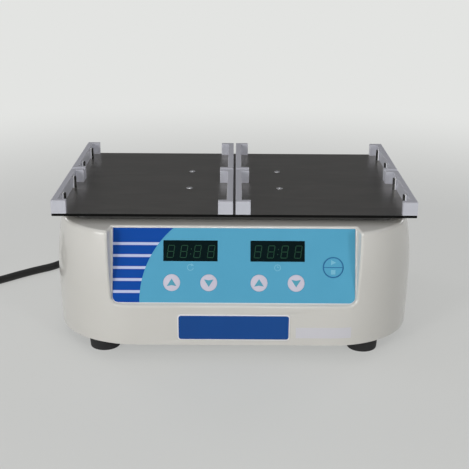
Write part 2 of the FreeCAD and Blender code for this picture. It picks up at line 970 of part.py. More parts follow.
def make_eccentric_hub():
    # Hub on the shaft with the drive journal set off by the orbit radius
    hub = upright(hub_radius, 0, drive_axis_y, hub_low_z, hub_high_z)
    hub = hub.makeChamfer(0.8, hub.Edges[0:1] + hub.Edges[2:3])
    journal_top = sub_plate_z - 0.5
    journal = upright(
        drive_journal_radius - running_clearance, 0, drive_axis_y + orbit_radius, hub_high_z, journal_top
    )
    body = fused([hub, journal])
    bore = upright(motor_shaft_radius, 0, drive_axis_y, hub_low_z - 1, hub_high_z - shaft_top_gap)
    grub = hub_screw_shape()
    return body.cut(bore).cut(grub)


def hub_screw_shape():
    z = hub_low_z + counterweight_lift + counterweight_thickness + set_screw_rise
    start = Vector(0, drive_axis_y + motor_shaft_radius, z)
    return rod(screw_radius, start, start + Y * (hub_radius - motor_shaft_radius))


def clamp_bolt_line():
    # Middle of the clamp bolt, and how far the ring reaches either side of it
    offset = (hub_radius + counterweight_ring_radius) / 2
    z = hub_low_z + counterweight_lift + counterweight_thickness / 2
    reach = math.sqrt(counterweight_ring_radius**2 - offset**2)
    return Vector(0, drive_axis_y + offset, z), reach


def make_counterweight():
    # Half disc opposite the journal, clamped round the hub
    low = hub_low_z + counterweight_lift
    high = low + counterweight_thickness
    disc = upright(counterweight_radius, 0, drive_axis_y, low, high)
    ring = upright(counterweight_ring_radius, 0, drive_axis_y, low, high)
    span = counterweight_radius + 1
    half = block(-span, span, drive_axis_y - span, drive_axis_y, low, high)
    weight = disc.common(half).fuse(ring).removeSplitter()
    hub_hole = upright(hub_radius, 0, drive_axis_y, low - 1, high + 1)
    slot = block(-clamp_slot / 2, clamp_slot / 2, drive_axis_y, drive_axis_y + span, low - 1, high + 1)
    middle, reach = clamp_bolt_line()
    bolt = rod(screw_radius, middle - X * span, middle + X * span)
    spot = rod(screw_head_radius + 0.2, middle + X * reach, middle + X * span)
    return weight.cut(hub_hole).cut(slot).cut(bolt).cut(spot)


def make_counterweight_screw():
    middle, reach = clamp_bolt_line()
    return pan_screw(middle + X * reach, -X, 2 * reach)


def bearing(x, y, bore, outside, low, width):
    # Shielded ball bearing: two ring faces with a shallow groove between them
    middle = (bore + outside) / 2
    groove = 0.18 * (outside - bore)
    sink = 0.4
    high = low + width
    return turned(
        [
            (bore, low),
            (middle - groove, low),
            (middle - groove, low + sink),
            (middle + groove, low + sink),
            (middle + groove, low),
            (outside, low),
            (outside, high),
            (middle + groove, high),
            (middle + groove, high - sink),
            (middle - groove, high - sink),
            (middle - groove, high),
            (bore, high),
        ],
        x,
        y,
    )


def make_idler_bearings():
    rings = []
    boss_top = chassis_top + idler_boss_height
    for x, y in idler_places.values():
        for low in (chassis_z, boss_top - idler_bearing_width):
            rings.append(
                bearing(x, y, idler_journal_radius, idler_bearing_radius, low, idler_bearing_width)
            )
    return group(rings)


def make_idler(place):
    # Crank with a lower journal in the chassis and an offset journal in the platform
    x, y = place
    pin = idler_journal_radius - running_clearance
    boss_top = chassis_top + idler_boss_height
    web_low = boss_top + bearing_float
    web_high = sub_plate_z - idler_bearing_width - 0.5 - bearing_float
    lower = upright(pin, x, y, chassis_z - 0.5, web_low)
    shoulder = upright(pin + 1.2, x, y, boss_top, web_low)
    web = upright(idler_web_radius, x, y, web_low, web_high)
    web = web.makeChamfer(0.6, web.Edges[0:1] + web.Edges[2:3])
    upper_shoulder = upright(pin + 1.2, x, y + orbit_radius, web_high, web_high + bearing_float)
    upper = upright(pin, x, y + orbit_radius, web_high, sub_plate_z - 0.5)
    return fused([lower, shoulder, web, upper_shoulder, upper])


# Platform
def make_sub_plate():
    plate = rounded_plate(
        0, platform_y, sub_plate_width, sub_plate_depth, sub_plate_corner_radius, sub_plate_z, platform_z
    )
    parts = [plate]
    holes = []
    drive_low = sub_plate_z - drive_bearing_width
    parts.append(upright(drive_boss_radius(), 0, platform_y, drive_low, platform_z))
    holes.append(upright(drive_bearing_radius, 0, platform_y, drive_low - 1, sub_plate_z))
    idler_low = sub_plate_z - idler_bearing_width - 0.5
    for x, y in idler_places.values():
        parts.append(upright(idler_upper_boss_radius(), x, y + orbit_radius, idler_low, platform_z))
        holes.append(upright(idler_bearing_radius, x, y + orbit_radius, idler_low - 1, sub_plate_z))
    for x, y in platform_screw_places:
        holes.append(upright(screw_radius, x, y, sub_plate_z - 1, platform_z + 1))
    for sx in (-1, 1):
        # Lightening windows between the bearing bosses
        x = sx * idler_x / 2
        for sy in (-1, 1):
            y = platform_y + sy * (idler_offset_y + sub_plate_window_shift)
            depth = 0.6 * sub_plate_window
            radius = window_corner_radius
            holes.append(
                rounded_plate(x, y, sub_plate_window, depth, radius, sub_plate_z - 1, platform_z + 1)
            )
    return fused(parts).cut(group(holes))


def make_platform_bearings():
    rings = [
        bearing(
            0,
            platform_y,
            drive_journal_radius,
            drive_bearing_radius,
            sub_plate_z - drive_bearing_width,
            drive_bearing_width,
        )
    ]
    for x, y in idler_places.values():
        low = sub_plate_z - idler_bearing_width - 0.5
        ring = bearing(
            x, y + orbit_radius, idler_journal_radius, idler_bearing_radius, low, idler_bearing_width
        )
        rings.append(ring)
    return group(rings)


def bracket_screw_places(side, row):
    inner = centre_gap / 2 + bracket_wall / 2
    outer = platform_width / 2 - bracket_wall / 2
    cy = platform_y + row * (row_gap + bracket_length) / 2
    places = []
    for x in (side * inner, side * outer):
        for end in (-1, 1):
            places.append((x, cy + end * 0.38 * bracket_length))
    return places


def all_bracket_screws():
    places = []
    for side in (-1, 1):
        for row in (-1, 1):
            places.extend(bracket_screw_places(side, row))
    return places


def make_platform_plate():
    plate = rounded_plate(
        0, platform_y, platform_width, platform_depth, platform_corner_radius, platform_z, platform_top
    )
    holes = []
    for x, y in platform_screw_places:
        holes.append(flush_screw(Vector(x, y, platform_top), -Z, screw_grip))
    for x, y in all_bracket_screws():
        holes.append(flush_screw(Vector(x, y, platform_z), Z, screw_grip))
    return plate.cut(group(holes))


def make_platform_screws():
    grip = platform_thickness + sub_plate_thickness
    return group([flush_screw(Vector(x, y, platform_top), -Z, grip) for x, y in platform_screw_places])


def make_bracket_screws():
    grip = platform_thickness + 0.5 * bracket_height
    return group([flush_screw(Vector(x, y, platform_z), Z, grip) for x, y in all_bracket_screws()])


def spring_places(side, row):
    cy = platform_y + row * (row_gap + bracket_length) / 2
    x = side * (platform_width / 2 - bracket_wall)
    return [(x, cy + end * spring_spacing / 2) for end in (-1, 1)]


def make_bracket(side, row, outer):
    # Channel-shaped end stop: a wall with a lug at each end, open towards its nest
    cy = platform_y + row * (row_gap + bracket_length) / 2
    if outer:
        back = side * platform_width / 2
        inward = -side
    else:
        back = side * centre_gap / 2
        inward = side
    y0 = cy - bracket_length / 2
    y1 = cy + bracket_length / 2

    def span(a, b):
        return (min(back + inward * a, back + inward * b), max(back + inward * a, back + inward * b))

    wall_x = span(0, bracket_wall)
    lug_x = span(0, bracket_lug_reach)
    top = platform_top + bracket_height
    parts = [block(wall_x[0], wall_x[1], y0, y1, platform_top, top)]
    parts.append(block(lug_x[0], lug_x[1], y0, y0 + bracket_lug_thickness, platform_top, top))
    parts.append(block(lug_x[0], lug_x[1], y1 - bracket_lug_thickness, y1, platform_top, top))
    body = fused(parts)
    rim = [e for e in body.Edges if min(v.Z for v in e.Vertexes) > top - 0.01]
    body = body.makeChamfer(bracket_edge_break, rim)
    cuts = []
    for x, y in bracket_screw_places(side, row):
        if wall_x[0] < x < wall_x[1]:
            cuts.append(upright(screw_radius, x, y, platform_z, platform_top + 0.6 * bracket_height))
    if outer:
        for x, y in spring_places(side, row):
            a, b = sorted((x, x + side * spring_leg))
            cuts.append(block(a - 0.01, b, y - spring_strip, y + spring_strip, platform_top, top))
    return body.cut(group(cuts))


def make_retaining_springs():
    # Open loops of spring strip, each with two legs pressed into a slot in its bracket
    springs = []
    low = platform_top + 0.1
    high = platform_top + bracket_height - 0.5
    for side in (-1, 1):
        for row in (-1, 1):
            for x, y in spring_places(side, row):
                cx = x - side * spring_radius
                ring = upright(spring_radius, cx, y, low, high)
                ring = ring.cut(upright(spring_radius - spring_strip, cx, y, low - 1, high + 1))
                a, b = sorted((x - side * 1.2 * spring_strip, x + side * spring_leg))
                legs = block(a, b, y - spring_strip, y + spring_strip, low, high)
                springs.append(ring.fuse(legs).removeSplitter())
    return group(springs)


# Power entry at the rear
def make_power_inlet():
    flange = rounded_slab(
        inlet_x,
        entry_z,
        inlet_flange_width,
        inlet_flange_height,
        inlet_flange_height / 2,
        pocket_y,
        inlet_face_y,
    )
    body = rounded_slab(
        inlet_x, entry_z, inlet_body_width, inlet_body_height, 1, pocket_y - inlet_body_depth, pocket_y
    )
    floor_y = inlet_face_y - inlet_socket_depth
    holes = [socket_form(inlet_socket_width, inlet_socket_height, floor_y, inlet_face_y)]
    for side in (-1, 1):
        x = inlet_x + side * inlet_screw_spacing / 2
        inner_end = Vector(x, pocket_y - 1, entry_z)
        outer_end = Vector(x, inlet_face_y + 1, entry_z)
        holes.append(rod(screw_radius, inner_end, outer_end))
    return fused([flange, body]).cut(group(holes))


def socket_form(width, height, y0, y1):
    # Rounded rectangle with the two lower corners cut off at 45 degrees
    bevel = 0.28 * height
    a = width / 2
    b = height / 2
    outline = [
        (-a, b),
        (a, b),
        (a, bevel - b),
        (a - bevel, -b),
        (bevel - a, -b),
        (-a, bevel - b),
        (-a, b),
    ]
    points = [Vector(inlet_x + u, y0, entry_z + v) for u, v in outline]
    return Part.Face(Part.makePolygon(points)).extrude(Y * (y1 - y0))


def inlet_pin_boxes(grow, length):
    floor_y = inlet_face_y - inlet_socket_depth
    pins = []
    for n, rise in ((-1, -inlet_pin_raise), (0, inlet_pin_raise), (1, -inlet_pin_raise)):
        x = inlet_x + n * inlet_pin_pitch
        z = entry_z + rise
        half_w = inlet_pin_width / 2 + grow
        half_h = inlet_pin_height / 2 + grow
        pins.append(block(x - half_w, x + half_w, floor_y, floor_y + length, z - half_h, z + half_h))
    return pins


def make_inlet_pins():
    return group(inlet_pin_boxes(0, inlet_pin_length))


def make_inlet_screws():
    screws = []
    for side in (-1, 1):
        x = inlet_x + side * inlet_screw_spacing / 2
        at = Vector(x, pocket_y + inlet_flange_thickness, entry_z)
        screws.append(pan_screw(at, -Y, inlet_flange_thickness + housing_wall + 2))
    return group(screws)


def rocker_pivot():
    return Vector(rocker_x, pocket_y + rocker_frame_thickness - rocker_pivot_depth, entry_z)


def make_switch_body():
    face_y = pocket_y + rocker_frame_thickness
    frame = rounded_slab(rocker_x, entry_z, rocker_frame_width, rocker_frame_height, 1.5, pocket_y, face_y)
    body = rounded_slab(
        rocker_x, entry_z, rocker_body_width, rocker_body_height, 1, pocket_y - rocker_body_depth, pocket_y
    )
    pivot = rocker_pivot()
    swing = math.radians(rocker_swing)
    well_depth = rocker_back * math.cos(swing) + rocker_half_height * math.sin(swing) + rocker_back_gap
    well = block(
        rocker_x - rocker_width / 2 - rocker_side_gap,
        rocker_x + rocker_width / 2 + rocker_side_gap,
        pivot.y - well_depth,
        face_y + 1,
        entry_z - rocker_half_height - rocker_end_gap,
        entry_z + rocker_half_height + rocker_end_gap,
    )
    reach = rocker_width / 2 + rocker_side_wall
    hole = rod(rocker_pin_radius + running_clearance, pivot - X * reach, pivot + X * reach)
    return fused([frame, body]).cut(well).cut(hole)


def make_power_rocker():
    # Paddle with two faces in a shallow vee, drawn level and then tipped to off
    pivot = rocker_pivot()
    dip = rocker_half_height * math.tan(math.radians(rocker_swing))
    outline = [
        (-rocker_back, -rocker_half_height),
        (rocker_front, -rocker_half_height),
        (rocker_front - dip, 0),
        (rocker_front, rocker_half_height),
        (-rocker_back, rocker_half_height),
        (-rocker_back, -rocker_half_height),
    ]
    points = [Vector(rocker_x - rocker_width / 2, pivot.y + u, entry_z + v) for u, v in outline]
    paddle = Part.Face(Part.makePolygon(points)).extrude(X * rocker_width)
    ends = [e for e in paddle.Edges if abs(e.tangentAt(e.FirstParameter).x) > 0.9]
    tips = [e for e in ends if e.Vertexes[0].Y > pivot.y + rocker_front - 0.1]
    paddle = paddle.makeFillet(rocker_edge_round, tips)
    reach = rocker_width / 2 + 0.9 * rocker_side_wall
    pin = rod(rocker_pin_radius, pivot - X * reach, pivot + X * reach)
    paddle = paddle.fuse(pin).removeSplitter()
    paddle.rotate(pivot, X, -rocker_swing)
    return paddle


def make_fuse_holder():
    seat = Vector(fuse_x, pocket_y, entry_z)
    nut = rod(fuse_nut_radius, seat, seat + Y * fuse_nut_height)
    body = rod(fuse_body_radius, seat - Y * fuse_body_depth, seat)
    return fused([nut, body])


def make_fuse_cap():
    start = Vector(fuse_x, pocket_y + fuse_nut_height, entry_z)
    cap = rod(fuse_cap_radius, start, start + Y * (fuse_cap_height - 0.2))
    cap = cap.makeFillet(0.8, [cap.Edges[0]])
    slot_y = start.y + fuse_cap_height - 1.4
    slot = block(fuse_x - 4, fuse_x + 4, slot_y, rear_y + 1, entry_z - 0.6, entry_z + 0.6)
    return cap.cut(slot)


# Power supply board
def supply_top():
    return base_top + supply_lift + board_thickness


def make_supply_board():
    board_low = base_top + supply_lift
    board = block(
        supply_x - supply_width / 2,
        supply_x + supply_width / 2,
        supply_y - supply_depth / 2,
        supply_y + supply_depth / 2,
        board_low,
        board_low + board_thickness,
    )
    holes = []
    for x, y in supply_post_places:
        holes.append(upright(screw_radius, x, y, board_low - 1, board_low + board_thickness + 1))
    return board.cut(group(holes))


def make_supply_posts():
    posts = []
    for x, y in supply_post_places:
        post = upright(supply_post_radius, x, y, base_top, base_top + supply_lift)
        posts.append(post.cut(upright(screw_radius, x, y, base_top - 1, base_top + supply_lift + 1)))
    return group(posts)


def standing_block(x, y, width, depth, height):
    top = supply_top()
    return block(x - width / 2, x + width / 2, y - depth / 2, y + depth / 2, top, top + height)


def make_supply_parts():
    # Transformer, two capacitors, relay and a finned heat sink
    top = supply_top()
    left = supply_x - 0.3 * supply_width
    right = supply_x + 0.3 * supply_width
    behind = supply_y + 0.3 * supply_depth
    parts = [standing_block(supply_x, supply_y, transformer_width, transformer_depth, transformer_height)]
    parts.append(upright(capacitor_radius, left, supply_y + 0.15 * supply_depth, top, top + capacitor_height))
    parts.append(upright(filter_radius, right, supply_y - 0.15 * supply_depth, top, top + filter_height))
    parts.append(standing_block(right, behind, relay_width, relay_depth, relay_height))
    back_y = supply_y - heat_sink_y + heat_sink_wall / 2
    sink_x = supply_x - supply_width / 2 + supply_post_inset + supply_post_radius + heat_sink_length / 2
    fins = [standing_block(sink_x, back_y, heat_sink_length, heat_sink_wall, heat_sink_height)]
    pitch = (heat_sink_length - fin_thickness) / (fin_count - 1)
    for n in range(fin_count):
        x = sink_x - heat_sink_length / 2 + fin_thickness / 2 + n * pitch
        y = back_y - (heat_sink_wall + fin_reach) / 2
        fins.append(standing_block(x, y, fin_thickness, fin_reach, heat_sink_height))
    parts.append(fused(fins))
    return group(parts)


# Mains lead: a route chosen by hand, from the connector to the coil
cord_route = [
    (inlet_x, relief_end_y, entry_z),
    (inlet_x, 192.0, entry_z),
    (inlet_x, 222.0, 14.0),
    (inlet_x, 257.4, cord_radius),
    (-104.6, 282.0, cord_radius),
    (-139.4, 282.0, cord_radius),
    (-164.0, 257.4, cord_radius),
    (-165.0, 222.0, cord_radius),
    (-160.0, 183.0, cord_radius),
    (-156.0, 145.0, cord_radius),
    (-158.0, 108.0, cord_radius),
    (-167.0, 78.0, cord_radius),
    (-191.0, 60.8, cord_radius),
    (-219.0, 33.0, cord_radius),
    (-243.0, 13.0, cord_radius),
    (-263.0, coil_centre[1] - outer_turn_radius, cord_radius),
    (coil_centre[0] + coil_entry, coil_centre[1] - outer_turn_radius, cord_radius),
]


def route_points():
    return [Vector(*p) for p in cord_route]


def make_cord_lead():
    # Straight runs joined by tangent arcs; each arc is as large as its runs allow
    points = route_points()
    runs = []
    radii = []
    length = 0
    last = points[0]
    for before, at, after in zip(points[:-2], points[1:-1], points[2:]):
        u = (at - before).normalize()
        v = (after - at).normalize()
        turn = math.acos(u.dot(v))
        shorter = min(before.distanceToPoint(at), at.distanceToPoint(after))
        radius = 0.45 * shorter / math.tan(turn / 2)
        start = at - u * (0.45 * shorter)
        end = at + v * (0.45 * shorter)
        centre = at + (v - u).normalize() * (radius / math.cos(turn / 2))
        circle = Part.Face(Part.Wire(Part.Circle(start, u, cord_radius).toShape()))
        runs.append(rod(cord_radius, last, start))
        runs.append(circle.revolve(centre, u.cross(v), math.degrees(turn)))
        radii.append(round(radius, 1))
        length += last.distanceToPoint(start) + radius * turn
        last = end
    runs.append(rod(cord_radius, last, points[-1]))
    length += last.distanceToPoint(points[-1])
    tube = fused(runs)
    print("cord radii", radii)
    print("cord length", round(length, 1))
    print("cord volume ratio", round(tube.Volume / (math.pi * cord_radius**2 * length), 4))
    return tube


def make_cord_coil():
    # Outer shape of the wound length: a flat ring of turns in two layers
    x, y = coil_centre
    inner = coil_mean_radius - coil_band / 2
    height = coil_layers * 2 * cord_radius
    ring = [(inner, 0), (coil_outer_radius, 0), (coil_outer_radius, height), (inner, height)]
    print("coil length", round(coil_turns * 2 * math.pi * coil_mean_radius, 1))
    return turned(ring, x, y)


def make_cord_connector():
    nose_width = inlet_socket_width - 2 * plug_in_clearance
    nose_height = inlet_socket_height - 2 * plug_in_clearance
    nose = socket_form(nose_width, nose_height, inlet_face_y - inlet_socket_depth, grip_start_y)
    shoulder_y = grip_start_y + 0.7 * connector_length
    wires = []
    for y, shrink in ((grip_start_y, 0), (shoulder_y, 0), (grip_end_y, 2 * connector_taper)):
        wires.append(
            rounded_wire(
                Vector(inlet_x, y, entry_z), X, Z, connector_width - shrink, connector_height - shrink, 4.0
            )
        )
    grip = Part.makeLoft(wires, True, True)
    relief = Part.makeCone(
        relief_start_radius, relief_end_radius, relief_length, Vector(inlet_x, grip_end_y, entry_z), Y
    )
    body = fused([nose, grip, relief])
    holes = inlet_pin_boxes(0.15, inlet_pin_length + 1)
    return body.cut(group(holes))


def plug_place(shape):
    # The plug lies beside the coil, its relief meeting the coil's outer face
    x, y = coil_centre
    moved = shape.copy()
    moved.rotate(Vector(0, 0, 0), Z, 90)
    reach = math.sqrt(coil_outer_radius**2 - (outer_turn_radius - relief_end_radius) ** 2)
    moved.translate(Vector(x - outer_turn_radius, y + reach, 0))
    return moved


def make_mains_plug():
    # Drawn along +X from the end of its strain relief
    axis_z = plug_height / 2
    relief = Part.makeCone(
        relief_end_radius, relief_start_radius, plug_relief_length, Vector(0, 0, axis_z), X
    )
    wires = []
    for share, shrink in ((0, plug_shoulder), (0.35, 0), (1, 0)):
        at = Vector(plug_relief_length + share * plug_length, 0, axis_z)
        width = plug_width - shrink
        height = plug_height - shrink
        wires.append(rounded_wire(at, Y, Z, width, height, plug_corner_radius))
    body = Part.makeLoft(wires, True, True)
    return plug_place(fused([relief, body]))


def make_plug_blades():
    start = plug_relief_length + plug_length
    axis_z = plug_height / 2
    blades = []
    for side in (-1, 1):
        y = side * blade_pitch / 2
        half = blade_thickness / 2
        low = axis_z - blade_drop
        blades.append(block(start, start + blade_length, y - half, y + half, low, low + blade_width))
    pin_z = axis_z - ground_pin_drop
    pin_end = start + blade_length + ground_pin_extra
    blades.append(rod(ground_pin_radius, Vector(start, 0, pin_z), Vector(pin_end, 0, pin_z)))
    return group([plug_place(b) for b in blades])


def all_pieces():
    pieces = {
        "upper_housing": make_upper_housing,
        "base_plate": make_base_plate,
        "rubber_feet": make_rubber_feet,
        "base_screws": make_base_screws,
        "panel_overlay": make_panel_overlay,
        "display_windows": make_display_windows,
        "speed_display": lambda: make_display(-1),
        "time_display": lambda: make_display(1),
        "control_board": make_control_board,
        "board_screws": make_board_screws,
        "tact_switches": make_tact_switches,
        "name_plate": make_name_plate,
        "chassis_plate": make_chassis_plate,
        "chassis_posts": make_chassis_posts,
        "chassis_screws": make_chassis_screws,
        "motor_body": make_motor_body,
        "motor_shaft": make_motor_shaft,
        "eccentric_hub": make_eccentric_hub,
        "hub_set_screw": hub_screw_shape,
        "counterweight": make_counterweight,
        "counterweight_screw": make_counterweight_screw,
        "idler_bearings": make_idler_bearings,
        "sub_plate": make_sub_plate,
        "platform_bearings": make_platform_bearings,
        "platform_plate": make_platform_plate,
        "platform_screws": make_platform_screws,
        "bracket_screws": make_bracket_screws,
        "retaining_springs": make_retaining_springs,
        "power_inlet": make_power_inlet,
        "inlet_pins": make_inlet_pins,
        "inlet_screws": make_inlet_screws,
        "switch_body": make_switch_body,
        "power_rocker": make_power_rocker,
        "fuse_holder": make_fuse_holder,
        "fuse_cap": make_fuse_cap,
        "supply_board": make_supply_board,
        "supply_posts": make_supply_posts,
        "supply_parts": make_supply_parts,
        "cord_connector": make_cord_connector,
        "cord_lead": make_cord_lead,
        "cord_coil": make_cord_coil,
        "mains_plug": make_mains_plug,
        "plug_blades": make_plug_blades,
    }
    for name, place in key_places.items():
        pieces[name] = lambda place=place: make_key(place)
    for name, place in idler_places.items():
        pieces["idler_" + name] = lambda place=place: make_idler(place)
    for side, across in ((-1, "left"), (1, "right")):
        for row, along in ((-1, "front"), (1, "rear")):
            for outer, where in ((True, "outer"), (False, "inner")):
                name = where + "_bracket_" + along + "_" + across
                pieces[name] = lambda side=side, row=row, outer=outer: make_bracket(side, row, outer)
    return pieces


def main():
    os.makedirs("parts", exist_ok=True)
    for name, make in all_pieces().items():
        shape = make()
        shape.exportStep("parts/" + name + ".step")


main()
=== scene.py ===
import math

import bmesh
import bpy
from mathutils import Matrix, Vector


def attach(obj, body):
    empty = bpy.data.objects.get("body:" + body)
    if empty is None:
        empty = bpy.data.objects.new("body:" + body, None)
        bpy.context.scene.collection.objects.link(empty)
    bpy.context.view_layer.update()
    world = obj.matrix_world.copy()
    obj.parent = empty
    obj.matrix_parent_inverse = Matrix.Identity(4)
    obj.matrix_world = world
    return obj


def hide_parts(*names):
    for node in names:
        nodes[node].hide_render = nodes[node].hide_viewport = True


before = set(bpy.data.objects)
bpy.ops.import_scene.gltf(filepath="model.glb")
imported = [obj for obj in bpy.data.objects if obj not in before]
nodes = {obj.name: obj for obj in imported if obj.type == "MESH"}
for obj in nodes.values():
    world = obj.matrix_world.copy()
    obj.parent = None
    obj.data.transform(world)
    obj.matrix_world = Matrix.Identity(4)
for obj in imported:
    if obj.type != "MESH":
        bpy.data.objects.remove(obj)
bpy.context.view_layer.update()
print("frame loaded:", len(nodes), "nodes")

mm = 0.001
hair = 0.01 * mm  # closer than this, points are one and films touch


# Small tools used by every piece
def linear(code):
    # sRGB hex to the linear colour that a shader socket takes
    parts = [int(code[i : i + 2], 16) / 255 for i in (1, 3, 5)]
    return [c / 12.92 if c <= 0.04045 else ((c + 0.055) / 1.055) ** 2.4 for c in parts] + [1.0]


def millimetres(*values):
    return Vector(v * mm for v in values)


def selectNothing():
    if bpy.context.object and bpy.context.object.mode != "OBJECT":
        bpy.ops.object.mode_set(mode="OBJECT")
    bpy.ops.object.select_all(action="DESELECT")


def makeActive(obj):
    selectNothing()
    obj.select_set(True)
    bpy.context.view_layer.objects.active = obj


def pick(obj, test, kind="FACE"):
    # In edit mode, selects the faces or edges whose middle and direction pass a test
    bpy.ops.mesh.select_mode(type=kind)
    bpy.ops.mesh.select_all(action="DESELECT")
    mesh = bmesh.from_edit_mesh(obj.data)
    for part in mesh.faces if kind == "FACE" else mesh.edges:
        if kind == "FACE":
            chosen = test(part.calc_center_median(), part.normal)
        else:
            ends = [v.co for v in part.verts]
            chosen = test((ends[0] + ends[1]) / 2, (ends[1] - ends[0]).normalized())
        part.select_set(bool(chosen))
    bmesh.update_edit_mesh(obj.data)


def looksUp(middle, normal):
    return normal.z > 0.9


def looksDown(middle, normal):
    return normal.z < -0.9


def startEditing(obj):
    makeActive(obj)
    bpy.ops.object.mode_set(mode="EDIT")
    bpy.ops.mesh.select_mode(type="FACE")


def settle(obj, place=None):
    # Bakes the object's place into its mesh, so it sits at the origin unturned
    makeActive(obj)
    if place is not None:
        obj.matrix_world = place @ obj.matrix_world
    bpy.ops.object.transform_apply(location=True, rotation=True, scale=True)


def smooth(obj, degrees):
    # Edges flatter than the angle are shaded round
    makeActive(obj)
    bpy.ops.object.shade_smooth_by_angle(angle=math.radians(degrees))


def applyModifier(obj, kind, **settings):
    makeActive(obj)
    modifier = obj.modifiers.new(kind.title(), kind)
    for key, value in settings.items():
        setattr(modifier, key, value)
    bpy.ops.object.modifier_apply(modifier=modifier.name)


def mergedCopy(nodeName, name):
    # A CAD node's shape with its loose triangles merged, ready for finishing
    piece = bpy.data.objects.new(name, nodes[nodeName].data.copy())
    bpy.context.scene.collection.objects.link(piece)
    startEditing(piece)
    bpy.ops.mesh.select_all(action="SELECT")
    bpy.ops.mesh.remove_doubles(threshold=hair)
    selectNothing()
    return piece


def dress(piece, material, body, stands=()):
    piece.data.materials.clear()
    piece.data.materials.append(material)
    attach(piece, body)
    if stands:
        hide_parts(*stands)


def joined(pieces, name):
    selectNothing()
    for piece in pieces:
        piece.select_set(True)
    bpy.context.view_layer.objects.active = pieces[0]
    bpy.ops.object.join()
    pieces[0].name = name
    return pieces[0]


def duplicate(piece, name, move):
    copy = piece.copy()
    copy.data = piece.data.copy()
    copy.name = name
    bpy.context.scene.collection.objects.link(copy)
    settle(copy, Matrix.Translation(move))
    return copy


# Camera where the photograph was taken from: place in mm, turns in degrees, film and lens in mm
cameraSet = {
    "place": (0.4, -783.9, 321.9),
    "down": 18.385,
    "yaw": 0.012,
    "roll": -0.342,
    "film": 36.0,
    "focal": 73.55,
    "nearest": 50.0,
}


def makeCamera():
    selectNothing()
    bpy.ops.object.camera_add()
    camera = bpy.context.object
    camera.name = "photoCamera"
    camera.data.sensor_width = cameraSet["film"]
    camera.data.lens = cameraSet["focal"]
    camera.data.clip_start = cameraSet["nearest"] * mm
    turns = Matrix.Rotation(math.radians(cameraSet["yaw"]), 4, "Z")
    turns = turns @ Matrix.Rotation(math.radians(90 - cameraSet["down"]), 4, "X")
    turns = turns @ Matrix.Rotation(math.radians(-cameraSet["roll"]), 4, "Z")
    camera.matrix_world = Matrix.Translation(millimetres(*cameraSet["place"])) @ turns
    bpy.context.scene.camera = camera


makeCamera()
print("camera set")


# Materials, each one started from what the real surface is
def addNode(tree, kind, settings=None, links=None):
    # A node with its settings, and its inputs linked to a socket or set to a value
    node = tree.nodes.new(kind)
    for key, value in (settings or {}).items():
        setattr(node, key, value)
    for key, value in (links or {}).items():
        if isinstance(value, bpy.types.NodeSocket):
            tree.links.new(value, node.inputs[key])
        else:
            node.inputs[key].default_value = value
    return node


def newSurface(name, colour, roughness, metallic=0.0, **sockets):
    material = bpy.data.materials.new(name)
    material.use_nodes = True
    tree = material.node_tree
    shader = tree.nodes["Principled BSDF"]
    shader.inputs["Base Color"].default_value = linear(colour)
    shader.inputs["Roughness"].default_value = roughness
    shader.inputs["Metallic"].default_value = metallic
    for key, value in sockets.items():
        shader.inputs[key.replace("_", " ")].default_value = value
    coords = addNode(tree, "ShaderNodeTexCoord").outputs["Object"]
    material.diffuse_color = linear(colour)
    return material, tree, shader, coords


def tint(tree, shader, coords, dark, light, perMetre):
    # Slow drift between two close colours, as moulded and rolled stock shows
    noise = addNode(
        tree, "ShaderNodeTexNoise", None, {"Vector": coords, "Scale": perMetre, "Detail": 3.0}
    )
    mix = addNode(
        tree,
        "ShaderNodeMix",
        {"data_type": "RGBA"},
        {"Factor": noise.outputs["Fac"], 6: linear(dark), 7: linear(light)},
    )
    tree.links.new(mix.outputs[2], shader.inputs["Base Color"])


def bumpFrom(tree, shader, height, strength, depth):
    # Raises the surface by the depth in mm, as far as the strength lets it show
    bump = addNode(
        tree, "ShaderNodeBump", None, {"Height": height, "Strength": strength, "Distance": depth * mm}
    )
    tree.links.new(bump.outputs["Normal"], shader.inputs["Normal"])


def roughFrom(tree, shader, value, low, high):
    spread = addNode(
        tree, "ShaderNodeMapRange", None, {"Value": value, "To Min": low, "To Max": high}
    )
    tree.links.new(spread.outputs["Result"], shader.inputs["Roughness"])


grainSet = {"driftPerMetre": 18.0, "detail": 2.0, "bump": 0.35, "glossier": 0.04, "duller": 0.05}


def grainy(name, colour, dark, light, roughness, grain, depth, metallic=0.0, **sockets):
    # A surface that drifts between a darker and a paler colour, with a fine even grain.
    # The grain's size and depth are in mm.
    material, tree, shader, coords = newSurface(name, colour, roughness, metallic, **sockets)
    tint(tree, shader, coords, dark, light, grainSet["driftPerMetre"])
    fine = addNode(
        tree,
        "ShaderNodeTexNoise",
        None,
        {"Vector": coords, "Scale": 1 / (grain * mm), "Detail": grainSet["detail"]},
    ).outputs["Fac"]
    bumpFrom(tree, shader, fine, grainSet["bump"], depth)
    roughFrom(tree, shader, fine, roughness - grainSet["glossier"], roughness + grainSet["duller"])
    return material


brushSet = {
    "stretch": 0.01,
    "detail": 4.0,
    "bump": 0.12,
    "depth": 0.02,
    "glossier": 0.06,
    "duller": 0.08,
}


